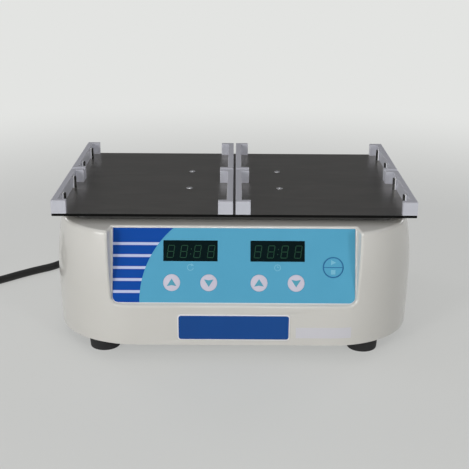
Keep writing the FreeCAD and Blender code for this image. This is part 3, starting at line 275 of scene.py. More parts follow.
def brushed(name, colour, dark, light, roughness, along, grit):
    # Metal with straight grinding lines: noise stretched a hundredfold along one axis
    material, tree, shader, coords = newSurface(name, colour, roughness, 1.0)
    stretch = [1.0, 1.0, 1.0]
    stretch["XYZ".index(along)] = brushSet["stretch"]
    lines = addNode(
        tree,
        "ShaderNodeMapping",
        None,
        {"Vector": coords, "Scale": [s / (grit * mm) for s in stretch]},
    )
    noise = addNode(
        tree,
        "ShaderNodeTexNoise",
        None,
        {"Vector": lines.outputs["Vector"], "Scale": 1.0, "Detail": brushSet["detail"]},
    ).outputs["Fac"]
    mix = addNode(
        tree,
        "ShaderNodeMix",
        {"data_type": "RGBA"},
        {"Factor": noise, 6: linear(dark), 7: linear(light)},
    )
    tree.links.new(mix.outputs[2], shader.inputs["Base Color"])
    roughFrom(tree, shader, noise, roughness - brushSet["glossier"], roughness + brushSet["duller"])
    bumpFrom(tree, shader, noise, brushSet["bump"], brushSet["depth"])
    return material


def paintLightByTilt(tree, steep, upright, flat):
    # Painted light: one colour on upright faces and another on flat ones, whichever way the piece is
    # seen, in place of the light and shade that fall on them
    faces = addNode(tree, "ShaderNodeNewGeometry")
    split = addNode(tree, "ShaderNodeSeparateXYZ", None, {"Vector": faces.outputs["Normal"]})
    rise = addNode(tree, "ShaderNodeMath", {"operation": "ABSOLUTE"}, {0: split.outputs["Z"]})
    stands = addNode(
        tree, "ShaderNodeMath", {"operation": "LESS_THAN"}, {0: rise.outputs[0], 1: steep}
    )
    tiltPainted = addNode(
        tree,
        "ShaderNodeMix",
        {"data_type": "RGBA"},
        {"Factor": stands.outputs[0], 6: flat, 7: upright},
    )
    return tiltPainted.outputs[2]


# Wiped smears on the sheets: their size as patches per metre, their turn, and how far they show; steep
# is the tilt past which a face counts as an edge with its painted dark
smearSet = {
    "perMetre": (22.0, 75.0, 1.0),
    "turn": 0.3,
    "detail": 3.0,
    "waver": 0.8,
    "low": 0.4,
    "high": 0.7,
    "most": 0.26,
    "steep": 0.6,
}


def cutSheet(name, colour, dark, light, veilTone, roughness, grit, edge):
    # Sheet metal with faint wiped smears, whose upright edges are painted a flat dark colour in place
    # of the light they would take: painted reflection on the stainless, painted shade on the aluminium
    material = brushed(name, colour, dark, light, roughness, "X", grit)
    tree = material.node_tree
    shader = tree.nodes["Principled BSDF"]
    coords = tree.nodes["Texture Coordinate"].outputs["Object"]
    grain = shader.inputs["Base Color"].links[0].from_socket
    smear = addNode(
        tree,
        "ShaderNodeMapping",
        None,
        {"Vector": coords, "Scale": smearSet["perMetre"], "Rotation": (0, 0, smearSet["turn"])},
    )
    wiped = addNode(
        tree,
        "ShaderNodeTexNoise",
        None,
        {
            "Vector": smear.outputs["Vector"],
            "Scale": 1.0,
            "Detail": smearSet["detail"],
            "Distortion": smearSet["waver"],
        },
    )
    veil = addNode(
        tree,
        "ShaderNodeMapRange",
        None,
        {
            "Value": wiped.outputs["Fac"],
            "From Min": smearSet["low"],
            "From Max": smearSet["high"],
            "To Max": smearSet["most"],
        },
    )
    wipedGrain = addNode(
        tree,
        "ShaderNodeMix",
        {"data_type": "RGBA"},
        {"Factor": veil.outputs["Result"], 6: grain, 7: linear(veilTone)},
    )
    tiltPainted = paintLightByTilt(tree, smearSet["steep"], linear(edge), wipedGrain.outputs[2])
    tree.links.new(tiltPainted, shader.inputs["Base Color"])
    return material


# Painted shade for the bars: the grey of their top faces, and the tilt past which a face counts as
# upright
paintedBarShade = {"top": "#b8b8bf", "steep": 0.7}


def makeAnodisedBar():
    # Clear anodised bar: milled faces cool and satin, the top faces painted a darker grey as painted
    # shade, as if the light fell mostly from the front
    material = grainy("anodisedBar", "#c5c6ce", "#c0c1c9", "#cacbd3", 0.38, 0.7, 0.02, 0.2)
    tree = material.node_tree
    shader = tree.nodes["Principled BSDF"]
    milled = shader.inputs["Base Color"].links[0].from_socket
    tiltPainted = paintLightByTilt(tree, paintedBarShade["steep"], milled, linear(paintedBarShade["top"]))
    tree.links.new(tiltPainted, shader.inputs["Base Color"])
    return material


# The springs' strips are parted down their middle, which lies this far out from the centre in mm; the
# painted highlight is outside it, the painted dark reflection inside
springSet = {"middle": 132.7, "oiled": "#0e0e0f", "steep": 0.7}


def makeSpringStrip():
    # Polished spring strip, painted in two: near white on the side by its bracket as a painted
    # highlight, near black towards the nest and on its top edges as a painted dark reflection
    material = grainy("springStrip", "#fafafc", "#f6f6f9", "#fcfcfe", 0.14, 0.4, 0.004)
    tree = material.node_tree
    shader = tree.nodes["Principled BSDF"]
    coords = tree.nodes["Texture Coordinate"].outputs["Object"]
    paintedHighlight = shader.inputs["Base Color"].links[0].from_socket
    oiled = linear(springSet["oiled"])
    split = addNode(tree, "ShaderNodeSeparateXYZ", None, {"Vector": coords})
    reach = addNode(tree, "ShaderNodeMath", {"operation": "ABSOLUTE"}, {0: split.outputs["X"]})
    outer = addNode(
        tree,
        "ShaderNodeMath",
        {"operation": "GREATER_THAN"},
        {0: reach.outputs[0], 1: springSet["middle"] * mm},
    )
    sides = addNode(
        tree,
        "ShaderNodeMix",
        {"data_type": "RGBA"},
        {"Factor": outer.outputs[0], 6: oiled, 7: paintedHighlight},
    )
    tiltPainted = paintLightByTilt(tree, springSet["steep"], sides.outputs[2], oiled)
    tree.links.new(tiltPainted, shader.inputs["Base Color"])
    return material


# Warm white ABS moulding, lacquered: soft broad highlights over a barely visible grain
lacquer = {"Coat_Weight": 0.8, "Coat_Roughness": 0.06}
absMoulding = grainy("absMoulding", "#cecdc7", "#cbc9c2", "#d1cfca", 0.36, 1.1, 0.02, **lacquer)
# Dark satin stainless sheet: lines of rolling grain, veiled where a cloth has wiped it, with edges
# painted near black as a painted reflection of a dark room
stainlessSheet = cutSheet(
    "stainlessSheet", "#94918c", "#86837e", "#9f9c96", "#b4b0a9", 0.3, 0.9, "#1b1b1b"
)
# Milled aluminium plate, duller than the sheet above it, with its edge painted grey as painted shade
# under that sheet
milledAluminium = cutSheet(
    "milledAluminium", "#8e9092", "#828486", "#999b9d", "#a2a4a6", 0.4, 0.5, "#585857"
)
anodisedBar = makeAnodisedBar()
springStrip = makeSpringStrip()
# Moulded rubber, matt and slightly dusty
mouldedRubber = grainy("mouldedRubber", "#1b1b1c", "#171718", "#222223", 0.72, 0.8, 0.05)
# Flexible vinyl sheath with a dull skin
vinylSheath = grainy("vinylSheath", "#141414", "#101010", "#1a1a1a", 0.5, 0.9, 0.03)
# Glass-filled nylon and moulded plugs: black with a fine spark grain
mouldedNylon = grainy("mouldedNylon", "#19191a", "#151516", "#1f1f20", 0.46, 0.5, 0.04)
# Zinc-plated steel, slightly blue with soft reflections
zincPlate = grainy("zincPlate", "#b4b7bb", "#a9acb1", "#bec1c5", 0.32, 0.6, 0.02, 1.0)
# Ground bearing steel, bright rings from the wheel
groundSteel = brushed("groundSteel", "#b9babb", "#adaeaf", "#c5c6c7", 0.24, "Z", 0.4)
# Nickel-plated brass contacts, faintly warm
nickelBrass = grainy("nickelBrass", "#cfc9b8", "#c6c0ad", "#d6d1c2", 0.22, 0.5, 0.01, 1.0)
# Black stove enamel on the motor can
stoveEnamel = grainy("stoveEnamel", "#202122", "#1c1d1e", "#27282a", 0.42, 1.0, 0.04)
# Green solder mask over a glass-cloth board
solderMask = grainy("solderMask", "#0f5a33", "#0c4f2c", "#13653b", 0.35, 0.9, 0.02)
# Bare galvanised base sheet, with spangles of zinc
galvanisedSheet = grainy("galvanisedSheet", "#a3a7a9", "#979b9d", "#afb3b5", 0.44, 6.0, 0.02, 0.9)
# Blank satin foil of the badge's face, printed blue
foilSheen = {"Specular_IOR_Level": 0.3}
blueFoil = grainy("blueFoil", "#0a458b", "#084185", "#0c4a92", 0.22, 0.6, 0.01, **foilSheen)
# Bright white vinyl of the badge's rim, also the painted highlight of the film's rim
whiteVinyl = grainy("whiteVinyl", "#e4e4e6", "#e0e0e2", "#e8e8ea", 0.4, 0.8, 0.01)
# Blank label film, cool and only a shade off the moulding
coolLabel = grainy("coolLabel", "#cdccd1", "#cac9ce", "#d0cfd4", 0.42, 0.8, 0.01)
# Turned stainless screw heads, which catch the light on their rims
turnedSteel = grainy("turnedSteel", "#e2e2e4", "#dadadc", "#eaeaec", 0.17, 0.4, 0.01, 0.8)
# Screen-printed inks, satin and even: pale on the key faces, teal, deep blue and soft blue on the rest
paleInk = grainy("paleInk", "#c9c5d3", "#c4c0cf", "#cec9d7", 0.42, 0.5, 0.01)
tealInk = grainy("tealInk", "#4c9db4", "#4796ad", "#52a4bb", 0.42, 0.5, 0.01)
deepInk = grainy("deepInk", "#16669b", "#126093", "#1a6da3", 0.42, 0.5, 0.01)
softInk = grainy("softInk", "#73b7cf", "#6eb2ca", "#78bcd3", 0.42, 0.5, 0.01)
# Unlit display: near-black green epoxy with slightly paler segment bars
displayEpoxy = grainy("displayEpoxy", "#04181a", "#031416", "#061d1f", 0.4, 0.6, 0.01)
segmentBars = grainy("segmentBars", "#143e2b", "#113926", "#174530", 0.3, 0.4, 0.005)
# Smoked acrylic panes: nearly black green with a hard gloss
smokedAcrylic = grainy("smokedAcrylic", "#031617", "#021314", "#04191b", 0.1, 0.6, 0.005)

# The printed film is drawn in the panel's own plane, in mm across and down the slope
panelSet = {
    "edge": (0.0, -94.5, 99.5),
    "lean": 19.0,
    "arcCentre": (1.0, 56.8),
    "arcRadius": 72.3,
    "darkLeftOf": -30.0,
    "softEdge": 0.1,
    "stripeFirst": 13.7,
    "stripePitch": 9.05,
    "stripeHalf": 1.05,
    "stripeStart": 11.7,
    "stripeEnd": 52.0,
    "fieldLight": "#5aa6c6",
    "fieldShade": "#55a1c1",
    "fieldDark": "#164a9f",
    "stripe": "#bcc4e4",
    "roughness": 0.2,
    "specular": 0.25,
    "driftPerMm": 0.03,
    "weavePerMm": 2.0,
    "weaveBump": 0.15,
    "weaveDepth": 0.01,
}
panelTurn = math.radians(90 - panelSet["lean"])
panelPlace = Matrix.Translation(millimetres(*panelSet["edge"])) @ Matrix.Rotation(panelTurn, 4, "X")


def darkFieldShare(tree, flat, across):
    # One to the left of the panel and outside the arc, where the film is dark blue
    centreX, centreDown = panelSet["arcCentre"]
    reach = addNode(
        tree,
        "ShaderNodeVectorMath",
        {"operation": "DISTANCE"},
        {0: flat, 1: (centreX, -centreDown, 0)},
    )
    past = addNode(
        tree,
        "ShaderNodeMapRange",
        None,
        {
            "Value": reach.outputs["Value"],
            "From Min": panelSet["arcRadius"] - panelSet["softEdge"],
            "From Max": panelSet["arcRadius"] + panelSet["softEdge"],
        },
    )
    leftOnly = addNode(
        tree, "ShaderNodeMath", {"operation": "LESS_THAN"}, {0: across, 1: panelSet["darkLeftOf"]}
    )
    share = addNode(
        tree, "ShaderNodeMath", {"operation": "MULTIPLY"}, {0: past.outputs[0], 1: leftOnly.outputs[0]}
    )
    return share.outputs[0]


def stripeShare(tree, up):
    # One on the pale stripes, which repeat down the slope between their start and end
    half = panelSet["stripePitch"] / 2
    shifted = addNode(
        tree, "ShaderNodeMath", {"operation": "ADD"}, {0: up, 1: panelSet["stripeFirst"] + half}
    )
    wrapped = addNode(
        tree,
        "ShaderNodeMath",
        {"operation": "WRAP"},
        {0: shifted.outputs[0], 1: panelSet["stripePitch"], 2: 0.0},
    )
    middle = addNode(
        tree, "ShaderNodeMath", {"operation": "SUBTRACT"}, {0: wrapped.outputs[0], 1: half}
    )
    away = addNode(tree, "ShaderNodeMath", {"operation": "ABSOLUTE"}, {0: middle.outputs[0]})
    bar = addNode(
        tree,
        "ShaderNodeMapRange",
        None,
        {
            "Value": away.outputs[0],
            "From Min": panelSet["stripeHalf"] + panelSet["softEdge"],
            "From Max": panelSet["stripeHalf"] - panelSet["softEdge"],
        },
    )
    below = addNode(
        tree, "ShaderNodeMath", {"operation": "LESS_THAN"}, {0: up, 1: -panelSet["stripeStart"]}
    )
    above = addNode(
        tree, "ShaderNodeMath", {"operation": "GREATER_THAN"}, {0: up, 1: -panelSet["stripeEnd"]}
    )
    inside = addNode(
        tree, "ShaderNodeMath", {"operation": "MULTIPLY"}, {0: below.outputs[0], 1: above.outputs[0]}
    )
    share = addNode(
        tree, "ShaderNodeMath", {"operation": "MULTIPLY"}, {0: bar.outputs[0], 1: inside.outputs[0]}
    )
    return share.outputs[0]


def makePrintedFilm():
    # Screen-printed polyester: a pale blue field, a dark blue one outside an arc, pale stripes
    sheen = {"Specular_IOR_Level": panelSet["specular"]}
    light, shade = linear(panelSet["fieldLight"]), linear(panelSet["fieldShade"])
    material, tree, shader, coords = newSurface(
        "printedFilm", panelSet["fieldLight"], panelSet["roughness"], **sheen
    )
    flat = addNode(
        tree,
        "ShaderNodeMapping",
        {"vector_type": "TEXTURE"},
        {
            "Vector": coords,
            "Location": millimetres(*panelSet["edge"]),
            "Rotation": (panelTurn, 0, 0),
            "Scale": (mm, mm, mm),
        },
    ).outputs["Vector"]
    split = addNode(tree, "ShaderNodeSeparateXYZ", None, {"Vector": flat})
    across, up = split.outputs["X"], split.outputs["Y"]
    level = addNode(tree, "ShaderNodeCombineXYZ", None, {"X": across, "Y": up})
    drift = addNode(
        tree,
        "ShaderNodeTexNoise",
        None,
        {"Vector": flat, "Scale": panelSet["driftPerMm"], "Detail": 2.0},
    )
    field = addNode(
        tree,
        "ShaderNodeMix",
        {"data_type": "RGBA"},
        {"Factor": drift.outputs["Fac"], 6: shade, 7: light},
    )
    striped = addNode(
        tree,
        "ShaderNodeMix",
        {"data_type": "RGBA"},
        {
            "Factor": stripeShare(tree, up),
            6: linear(panelSet["fieldDark"]),
            7: linear(panelSet["stripe"]),
        },
    )
    colour = addNode(
        tree,
        "ShaderNodeMix",
        {"data_type": "RGBA"},
        {
            "Factor": darkFieldShare(tree, level.outputs["Vector"], across),
            6: field.outputs[2],
            7: striped.outputs[2],
        },
    )
    tree.links.new(colour.outputs[2], shader.inputs["Base Color"])
    weave = addNode(
        tree,
        "ShaderNodeTexNoise",
        None,
        {"Vector": flat, "Scale": panelSet["weavePerMm"], "Detail": 2.0},
    )
    bumpFrom(tree, shader, weave.outputs["Fac"], panelSet["weaveBump"], panelSet["weaveDepth"])
    return material


printedFilm = makePrintedFilm()
print("materials made")

# Mains lead: the same route points as the solid's, in mm, then its coil worked out by a loop
leadSet = {
    "radius": 3.5,
    "inlet": (-80.0, 35.0),
    "reliefEnd": 165.8,
    "coilCentre": (-302.0, 50.0),
    "coilMean": 37.0,
    "coilTurns": 5.25,
    "pointsPerTurn": 24,
    "plugReach": 22.7,
    "roundSteps": 5,
    "alongSteps": 6,
}
leadSet["coilOuter"] = leadSet["coilMean"] + leadSet["radius"] * leadSet["coilTurns"] / 2
coilX, coilY = leadSet["coilCentre"]
leadRoute = [
    (leadSet["inlet"][0], leadSet["reliefEnd"], leadSet["inlet"][1]),
    (leadSet["inlet"][0], 192.0, leadSet["inlet"][1]),
    (-80.0, 222.0, 14.0),
    (-80.0, 257.4, 3.5),
    (-104.6, 282.0, 3.5),
    (-139.4, 282.0, 3.5),
    (-164.0, 257.4, 3.5),
    (-165.0, 222.0, 3.5),
    (-160.0, 183.0, 3.5),
    (-156.0, 145.0, 3.5),
    (-158.0, 108.0, 3.5),
    (-167.0, 78.0, 3.5),
    (-191.0, 60.8, 3.5),
    (-219.0, 33.0, 3.5),
    (-243.0, 13.0, 3.5),
    (-263.0, coilY - leadSet["coilOuter"], 3.5),
]


def coilPoints():
    # Spirals inwards on the bench for half the turns, climbs one diameter, spirals out on top
    turns, perTurn = leadSet["coilTurns"], leadSet["pointsPerTurn"]
    pitch = 2 * leadSet["radius"]
    widen = 1 / math.cos(math.pi / perTurn)
    points = []
    for n in range(round(turns * perTurn) + 1):
        turn = n / perTurn
        fromEnd = min(turn, turns - turn)
        reach = (leadSet["coilOuter"] - pitch * fromEnd) * widen
        climb = min(1.0, max(0.0, turn - turns / 2 + 0.5))
        climb = climb * climb * (3 - 2 * climb)
        angle = -math.pi / 2 - turn * 2 * math.pi
        height = leadSet["radius"] + pitch * climb
        points.append((coilX + reach * math.cos(angle), coilY + reach * math.sin(angle), height))
    return points


def layLead():
    plugEnd = (coilX - leadSet["coilOuter"], coilY + leadSet["plugReach"], 3 * leadSet["radius"])
    points = leadRoute + coilPoints() + [plugEnd]
    curve = bpy.data.curves.new("mainsLead", "CURVE")
    curve.dimensions = "3D"
    curve.bevel_depth = leadSet["radius"] * mm
    curve.bevel_resolution = leadSet["roundSteps"]
    curve.resolution_u = leadSet["alongSteps"]
    curve.use_fill_caps = True
    line = curve.splines.new("NURBS")
    line.points.add(len(points) - 1)
    for spot, (x, y, z) in zip(line.points, points):
        spot.co = (x * mm, y * mm, z * mm, 1.0)
    line.order_u = 3
    line.use_endpoint_u = True
    curve.materials.append(vinylSheath)
    lead = bpy.data.objects.new("mainsLead", curve)
    bpy.context.scene.collection.objects.link(lead)
    return lead


mainsLead = layLead()
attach(mainsLead, "base_unit")
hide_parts("cord_lead", "cord_coil")
print("lead laid")

# Housing: the CAD shell, merged and smoothed over its round stretches
housingSet = {"smoothBelow": 28, "evenness": 50}


def makeHousing():
    shell = mergedCopy("upper_housing", "housingShell")
    smooth(shell, housingSet["smoothBelow"])
    # Large faces lead the shading, so the thin triangles beside them leave no streaks
    applyModifier(
        shell, "WEIGHTED_NORMAL", mode="FACE_AREA", weight=housingSet["evenness"], keep_sharp=True
    )
    dress(shell, absMoulding, "base_unit", ["upper_housing"])
    return shell


housingShell = makeHousing()

# Small CAD nodes whose round faces want smooth shading, with their own finishes
smoothBelow = 32
smoothNodes = {
    "retaining_springs": (springStrip, "platform", "spring_steel"),
    "cord_connector": (mouldedNylon, "base_unit", "black_plastic"),
    "mains_plug": (mouldedNylon, "base_unit", "black_plastic"),
    "key_speed_up": (paleInk, "speed_up_key", "key_plastic"),
    "key_speed_down": (paleInk, "speed_down_key", "key_plastic"),
    "key_time_up": (paleInk, "time_up_key", "key_plastic"),
    "key_time_down": (paleInk, "time_down_key", "key_plastic"),
    "key_start_stop": (printedFilm, "start_stop_key", "key_plastic"),
    "motor_body": (stoveEnamel, "base_unit", "motor_paint"),
    "fuse_holder": (mouldedNylon, "base_unit", "black_plastic"),
    "fuse_cap": (mouldedNylon, "base_unit", "black_plastic"),
}
for nodeName, (material, body, slotName) in smoothNodes.items():
    words = nodeName.split("_")
    piece = mergedCopy(nodeName, words[0] + "".join(w.title() for w in words[1:]) + "Skin")
    smooth(piece, smoothBelow)
    dress(piece, material, body, [nodeName])
print("housing and round pieces finished")

# Feet: turned rubber with a rolled lower edge and a stepped recess for the screw
footSet = {
    "radius": 12.5,
    "taper": 1.0,
    "top": 11.5,
    "sole": 6.3,
    "lip": 0.6,
    "recess": 5.0,
    "roll": 1.0,
    "rimPast": 9.0,
    "sides": 48,
    "rollSteps": 4,
    "smoothBelow": 40,
    "places": [(-101, -92.5), (101, -92.5), (-101, 92), (101, 92)],
}


def makeFoot(name, x, y):
    radius, top = footSet["radius"], footSet["top"]
    selectNothing()
    bpy.ops.mesh.primitive_cylinder_add(
        vertices=footSet["sides"],
        radius=radius * mm,
        depth=top * mm,
        location=millimetres(x, y, top / 2),
    )
    foot = bpy.context.object
    foot.name = name
    settle(foot)
    startEditing(foot)
    pick(foot, looksDown)
    narrow = 1 - footSet["taper"] / radius
    bpy.ops.transform.resize(value=(narrow, narrow, 1))
    bpy.ops.mesh.inset(thickness=footSet["sole"] * mm)
    bpy.ops.mesh.inset(thickness=footSet["lip"] * mm)
    bpy.ops.transform.translate(value=(0, 0, footSet["recess"] * mm))
    centre = millimetres(x, y, 0)
    rim = footSet["rimPast"] * mm
    pick(foot, lambda middle, way: middle.z < hair and (middle - centre).length > rim, "EDGE")
    bpy.ops.mesh.bevel(offset=footSet["roll"] * mm, segments=footSet["rollSteps"], affect="EDGES")
    selectNothing()
    smooth(foot, footSet["smoothBelow"])
    return foot


feet = [makeFoot("foot" + str(n), x, y) for n, (x, y) in enumerate(footSet["places"])]
rubberFeet = joined(feet, "rubberFeet")
dress(rubberFeet, mouldedRubber, "base_unit", ["rubber_feet"])
print("feet turned")


# Flat marks printed or laid on the panel, drawn as outlines in its plane
def flatOutline(name, loops, height, lift, plane=panelPlace):
    # Fills closed outlines given in mm across and up the plane, and gives them a thickness
    curve = bpy.data.curves.new(name, "CURVE")
    curve.dimensions = "2D"
    curve.fill_mode = "BOTH"
    curve.extrude = height / 2 * mm
    for loop in loops:
        line = curve.splines.new("POLY")
        line.points.add(len(loop) - 1)
        for spot, (x, y) in zip(line.points, loop):
            spot.co = (x * mm, y * mm, 0, 1)
        line.use_cyclic_u = True
    piece = bpy.data.objects.new(name, curve)
    bpy.context.scene.collection.objects.link(piece)
    makeActive(piece)
    bpy.ops.object.convert(target="MESH")
    settle(piece, plane @ Matrix.Translation((0, 0, (lift + height / 2) * mm)))
    return piece


def arcPoints(x, y, radius, angles):
    return [(x + radius * math.cos(a), y + radius * math.sin(a)) for a in angles]


def roundLoop(x, y, radius, count):
    return arcPoints(x, y, radius, [2 * math.pi * n / count for n in range(count)])


def ringLoops(x, y, outer, inner, count=64):
    return [roundLoop(x, y, radius, count) for radius in (outer, inner)]


def bandLoop(x, y, outer, inner, first, last, count=24):
    angles = [first + (last - first) * n / count for n in range(count + 1)]
    return arcPoints(x, y, outer, angles) + arcPoints(x, y, inner, reversed(angles))


def boxLoop(x0, x1, y0, y1):
    return [(x0, y0), (x1, y0), (x1, y1), (x0, y1)]


# Film rim: a white sheet under the film, whose rim shows as a thin line along its sides and foot, a
# painted highlight for the light caught by the film's edge and the land round it
filmSet = {
    "half": 91.5,
    "top": 1.7,
    "bottom": 58.0,
    "round": 4.6,
    "stand": 0.5,
    "seam": 0.01,
    "thick": 0.1,
}


def filmLoop(grow, count=8):
    half = filmSet["half"] + grow
    low = filmSet["bottom"] + grow
    radius = filmSet["round"] + grow
    angles = [-math.pi / 2 * n / count for n in range(count + 1)]
    right = arcPoints(half - radius, radius - low, radius, angles)
    left = [(-x, y) for x, y in reversed(right)]
    return [(-half, -filmSet["top"]), (half, -filmSet["top"])] + right + left


def makeFilmRimHighlight():
    loops = [filmLoop(filmSet["stand"]), filmLoop(filmSet["seam"])]
    paintedRim = flatOutline("filmBacking", loops, filmSet["thick"], filmSet["seam"])
    dress(paintedRim, whiteVinyl, "base_unit")


makeFilmRimHighlight()

# Arrows on the four small keys
keySet = {
    "far": 47.0,
    "near": 19.0,
    "down": 43.0,
    "lift": 0.82,
    "thick": 0.12,
    "shape": [(0, 3.1), (3.6, -2.6), (0, -1.9), (-3.6, -2.6)],
}
arrows = {
    "speed_up_key": ("speedUpArrow", -keySet["far"], 1),
    "speed_down_key": ("speedDownArrow", -keySet["near"], -1),
    "time_up_key": ("timeUpArrow", keySet["near"], 1),
    "time_down_key": ("timeDownArrow", keySet["far"], -1),
}
for body, (name, x, way) in arrows.items():
    arrowLoop = [(x + a * way, -keySet["down"] + b * way) for a, b in keySet["shape"]]
    dress(flatOutline(name, [arrowLoop], keySet["thick"], keySet["lift"]), tealInk, body)

# Start and stop key: a ring parted by a bar, with a triangle above it and a square below
startSet = {
    "x": 74.9,
    "down": 30.9,
    "outer": 7.75,
    "inner": 7.05,
    "ringLift": 0.6,
    "ringThick": 0.3,
    "barLift": 0.78,
    "barThick": 0.2,
    "barHalf": (6.9, 0.28),
    "signLift": 0.8,
    "signThick": 0.16,
    "triangle": [(-1.6, 1.8), (2.2, 3.7), (-1.6, 5.6)],
    "square": (-1.7, 1.7, -5.3, -1.9),
}


def makeStartMark():
    x, y = startSet["x"], -startSet["down"]
    long, half = startSet["barHalf"]
    left, right, low, top = startSet["square"]
    signThick, signLift = startSet["signThick"], startSet["signLift"]
    loops = ringLoops(x, y, startSet["outer"], startSet["inner"])
    ring = flatOutline("startRing", loops, startSet["ringThick"], startSet["ringLift"])
    loops = [boxLoop(x - long, x + long, y - half, y + half)]
    bar = flatOutline("startBar", loops, startSet["barThick"], startSet["barLift"])
    loops = [[(x + a, y + b) for a, b in startSet["triangle"]]]
    go = flatOutline("startGo", loops, signThick, signLift)
    loops = [boxLoop(x + left, x + right, y + low, y + top)]
    halt = flatOutline("startHalt", loops, signThick, signLift)
    dress(joined([ring, bar], "startRing"), deepInk, "start_stop_key")
    dress(joined([go, halt], "startSigns"), softInk, "start_stop_key")


makeStartMark()

# Bare name badge: a white rim of vinyl round a blue foil face, leaning with the skin behind it
badgeSet = {
    "z": 26.0,
    "bulge": 960.0,
    "widest": 59.0,
    "front": -117.5,
    "proud": 0.5,
    "width": 83.5,
    "height": 19.5,
    "round": 2.0,
    "thick": 0.06,
    "rimBevel": 0.2,
    "smoothBelow": 30,
}


def frontPlane(z):
    # Plane that touches the housing's lower front at a level, its own up along the skin
    lean = math.asin((badgeSet["widest"] - z) / badgeSet["bulge"])
    y = badgeSet["front"] + badgeSet["bulge"] * (1 - math.cos(lean))
    return Matrix.Translation(millimetres(0, y, z)) @ Matrix.Rotation(math.pi / 2 + lean, 4, "X")


def roundedLoop(width, height, radius, count=8):
    points = []
    for sideX, sideY, first in ((1, 1, 0), (-1, 1, 90), (-1, -1, 180), (1, -1, 270)):
        x = sideX * (width / 2 - radius)
        y = sideY * (height / 2 - radius)
        angles = [math.radians(first + 90 * n / count) for n in range(count + 1)]
        points.extend(arcPoints(x, y, radius, angles))
    return points


def makeBadge():
    rim = mergedCopy("name_plate", "badgeRim")
    applyModifier(rim, "BEVEL", width=badgeSet["rimBevel"] * mm, segments=2, limit_method="ANGLE")
    smooth(rim, badgeSet["smoothBelow"])
    dress(rim, whiteVinyl, "base_unit", ["name_plate"])
    loop = roundedLoop(badgeSet["width"], badgeSet["height"], badgeSet["round"])
    plane = frontPlane(badgeSet["z"])
    face = flatOutline("badgeFace", [loop], badgeSet["thick"], badgeSet["proud"], plane)
    dress(face, blueFoil, "base_unit")


makeBadge()


def laidOn(piece, target, thick):
    # Presses a flat piece onto a surface along y, then gives it its thickness
    applyModifier(
        piece,
        "SHRINKWRAP",
        target=target,
        wrap_method="PROJECT",
        use_project_y=True,
        use_negative_direction=True,
        use_positive_direction=True,
        offset=hair,
    )
    applyModifier(piece, "SOLIDIFY", thickness=thick * mm, offset=1.0)
    startEditing(piece)
    bpy.ops.mesh.select_all(action="SELECT")
    bpy.ops.mesh.normals_make_consistent(inside=False)
    selectNothing()


# Blank vinyl label to the right of the badge, laid onto the curved skin from in front of it
labelSet = {
    "x": 68.3,
    "y": -130.0,
    "z": 21.6,
    "width": 42.2,
    "height": 8.8,
    "thick": 0.12,
    "cuts": 24,
    "smoothBelow": 30,
}


def makeLabel():
    selectNothing()
    bpy.ops.mesh.primitive_plane_add(size=mm)
    label = bpy.context.object
    label.name = "blankLabel"
    label.scale = (labelSet["width"], labelSet["height"], 1)
    settle(label)
    startEditing(label)
    bpy.ops.mesh.select_all(action="SELECT")
    bpy.ops.mesh.subdivide(number_cuts=labelSet["cuts"])
    selectNothing()
    place = Matrix.Translation(millimetres(labelSet["x"], labelSet["y"], labelSet["z"]))
    settle(label, place @ Matrix.Rotation(math.pi / 2, 4, "X"))
    laidOn(label, housingShell, labelSet["thick"])
    smooth(label, labelSet["smoothBelow"])
    dress(label, coolLabel, "base_unit")


makeLabel()

# Plain signs under the windows: a turning arrow for speed, a clock for time
signSet = {
    "x": 32.9,
    "down": 31.4,
    "outer": 2.5,
    "inner": 2.0,
    "lift": 0.6,
    "thick": 0.05,
    "arrowFrom": 60,
    "arrowTo": 350,
    "head": [(-0.3, 1.2), (1.5, -0.5), (-0.9, -0.9)],
    "handHalf": 0.2,
    "longHand": 1.5,
    "shortHand": 1.3,
}


def makeSigns():
    x, y = signSet["x"], -signSet["down"]
    outer, inner = signSet["outer"], signSet["inner"]
    half, thick, lift = signSet["handHalf"], signSet["thick"], signSet["lift"]
    first, last = math.radians(signSet["arrowFrom"]), math.radians(signSet["arrowTo"])
    tipX, tipY = arcPoints(-x, y, (outer + inner) / 2, [first])[0]
    head = [(tipX + a, tipY + b) for a, b in signSet["head"]]
    speed = flatOutline("speedSign", [bandLoop(-x, y, outer, inner, first, last)], thick, lift)
    speedHead = flatOutline("speedHead", [head], thick, lift)
    clock = flatOutline("timeSign", ringLoops(x, y, outer, inner), thick, lift)
    long = boxLoop(x - half, x + half, y, y + signSet["longHand"])
    short = boxLoop(x + half, x + signSet["shortHand"], y, y + 2 * half)
    hands = flatOutline("timeHands", [long, short], thick, lift)
    dress(joined([speed, speedHead, clock, hands], "panelSigns"), softInk, "base_unit")


makeSigns()

# On and off marks printed on the mains rocker from behind it, a bar above and a ring below
rockerSet = {
    "x": -43.0,
    "y": 125.0,
    "z": 35.0,
    "apart": 3.9,
    "ring": 1.7,
    "line": 0.4,
    "bar": 3.2,
    "thick": 0.04,
}


def makeRockerMarks():
    back = Matrix.Rotation(math.pi, 4, "Z") @ Matrix.Rotation(math.pi / 2, 4, "X")
    place = Matrix.Translation(millimetres(rockerSet["x"], rockerSet["y"], rockerSet["z"]))
    apart, line, ring = rockerSet["apart"], rockerSet["line"], rockerSet["ring"]
    low, top = apart - rockerSet["bar"] / 2, apart + rockerSet["bar"] / 2
    on = flatOutline("onMark", [boxLoop(-line / 2, line / 2, low, top)], 0, 0, place @ back)
    off = flatOutline("offMark", ringLoops(0, -apart, ring, ring - line), 0, 0, place @ back)
    marks = joined([on, off], "rockerMarks")
    laidOn(marks, nodes["power_rocker"], rockerSet["thick"])
    dress(marks, paleInk, "mains_rocker")


makeRockerMarks()

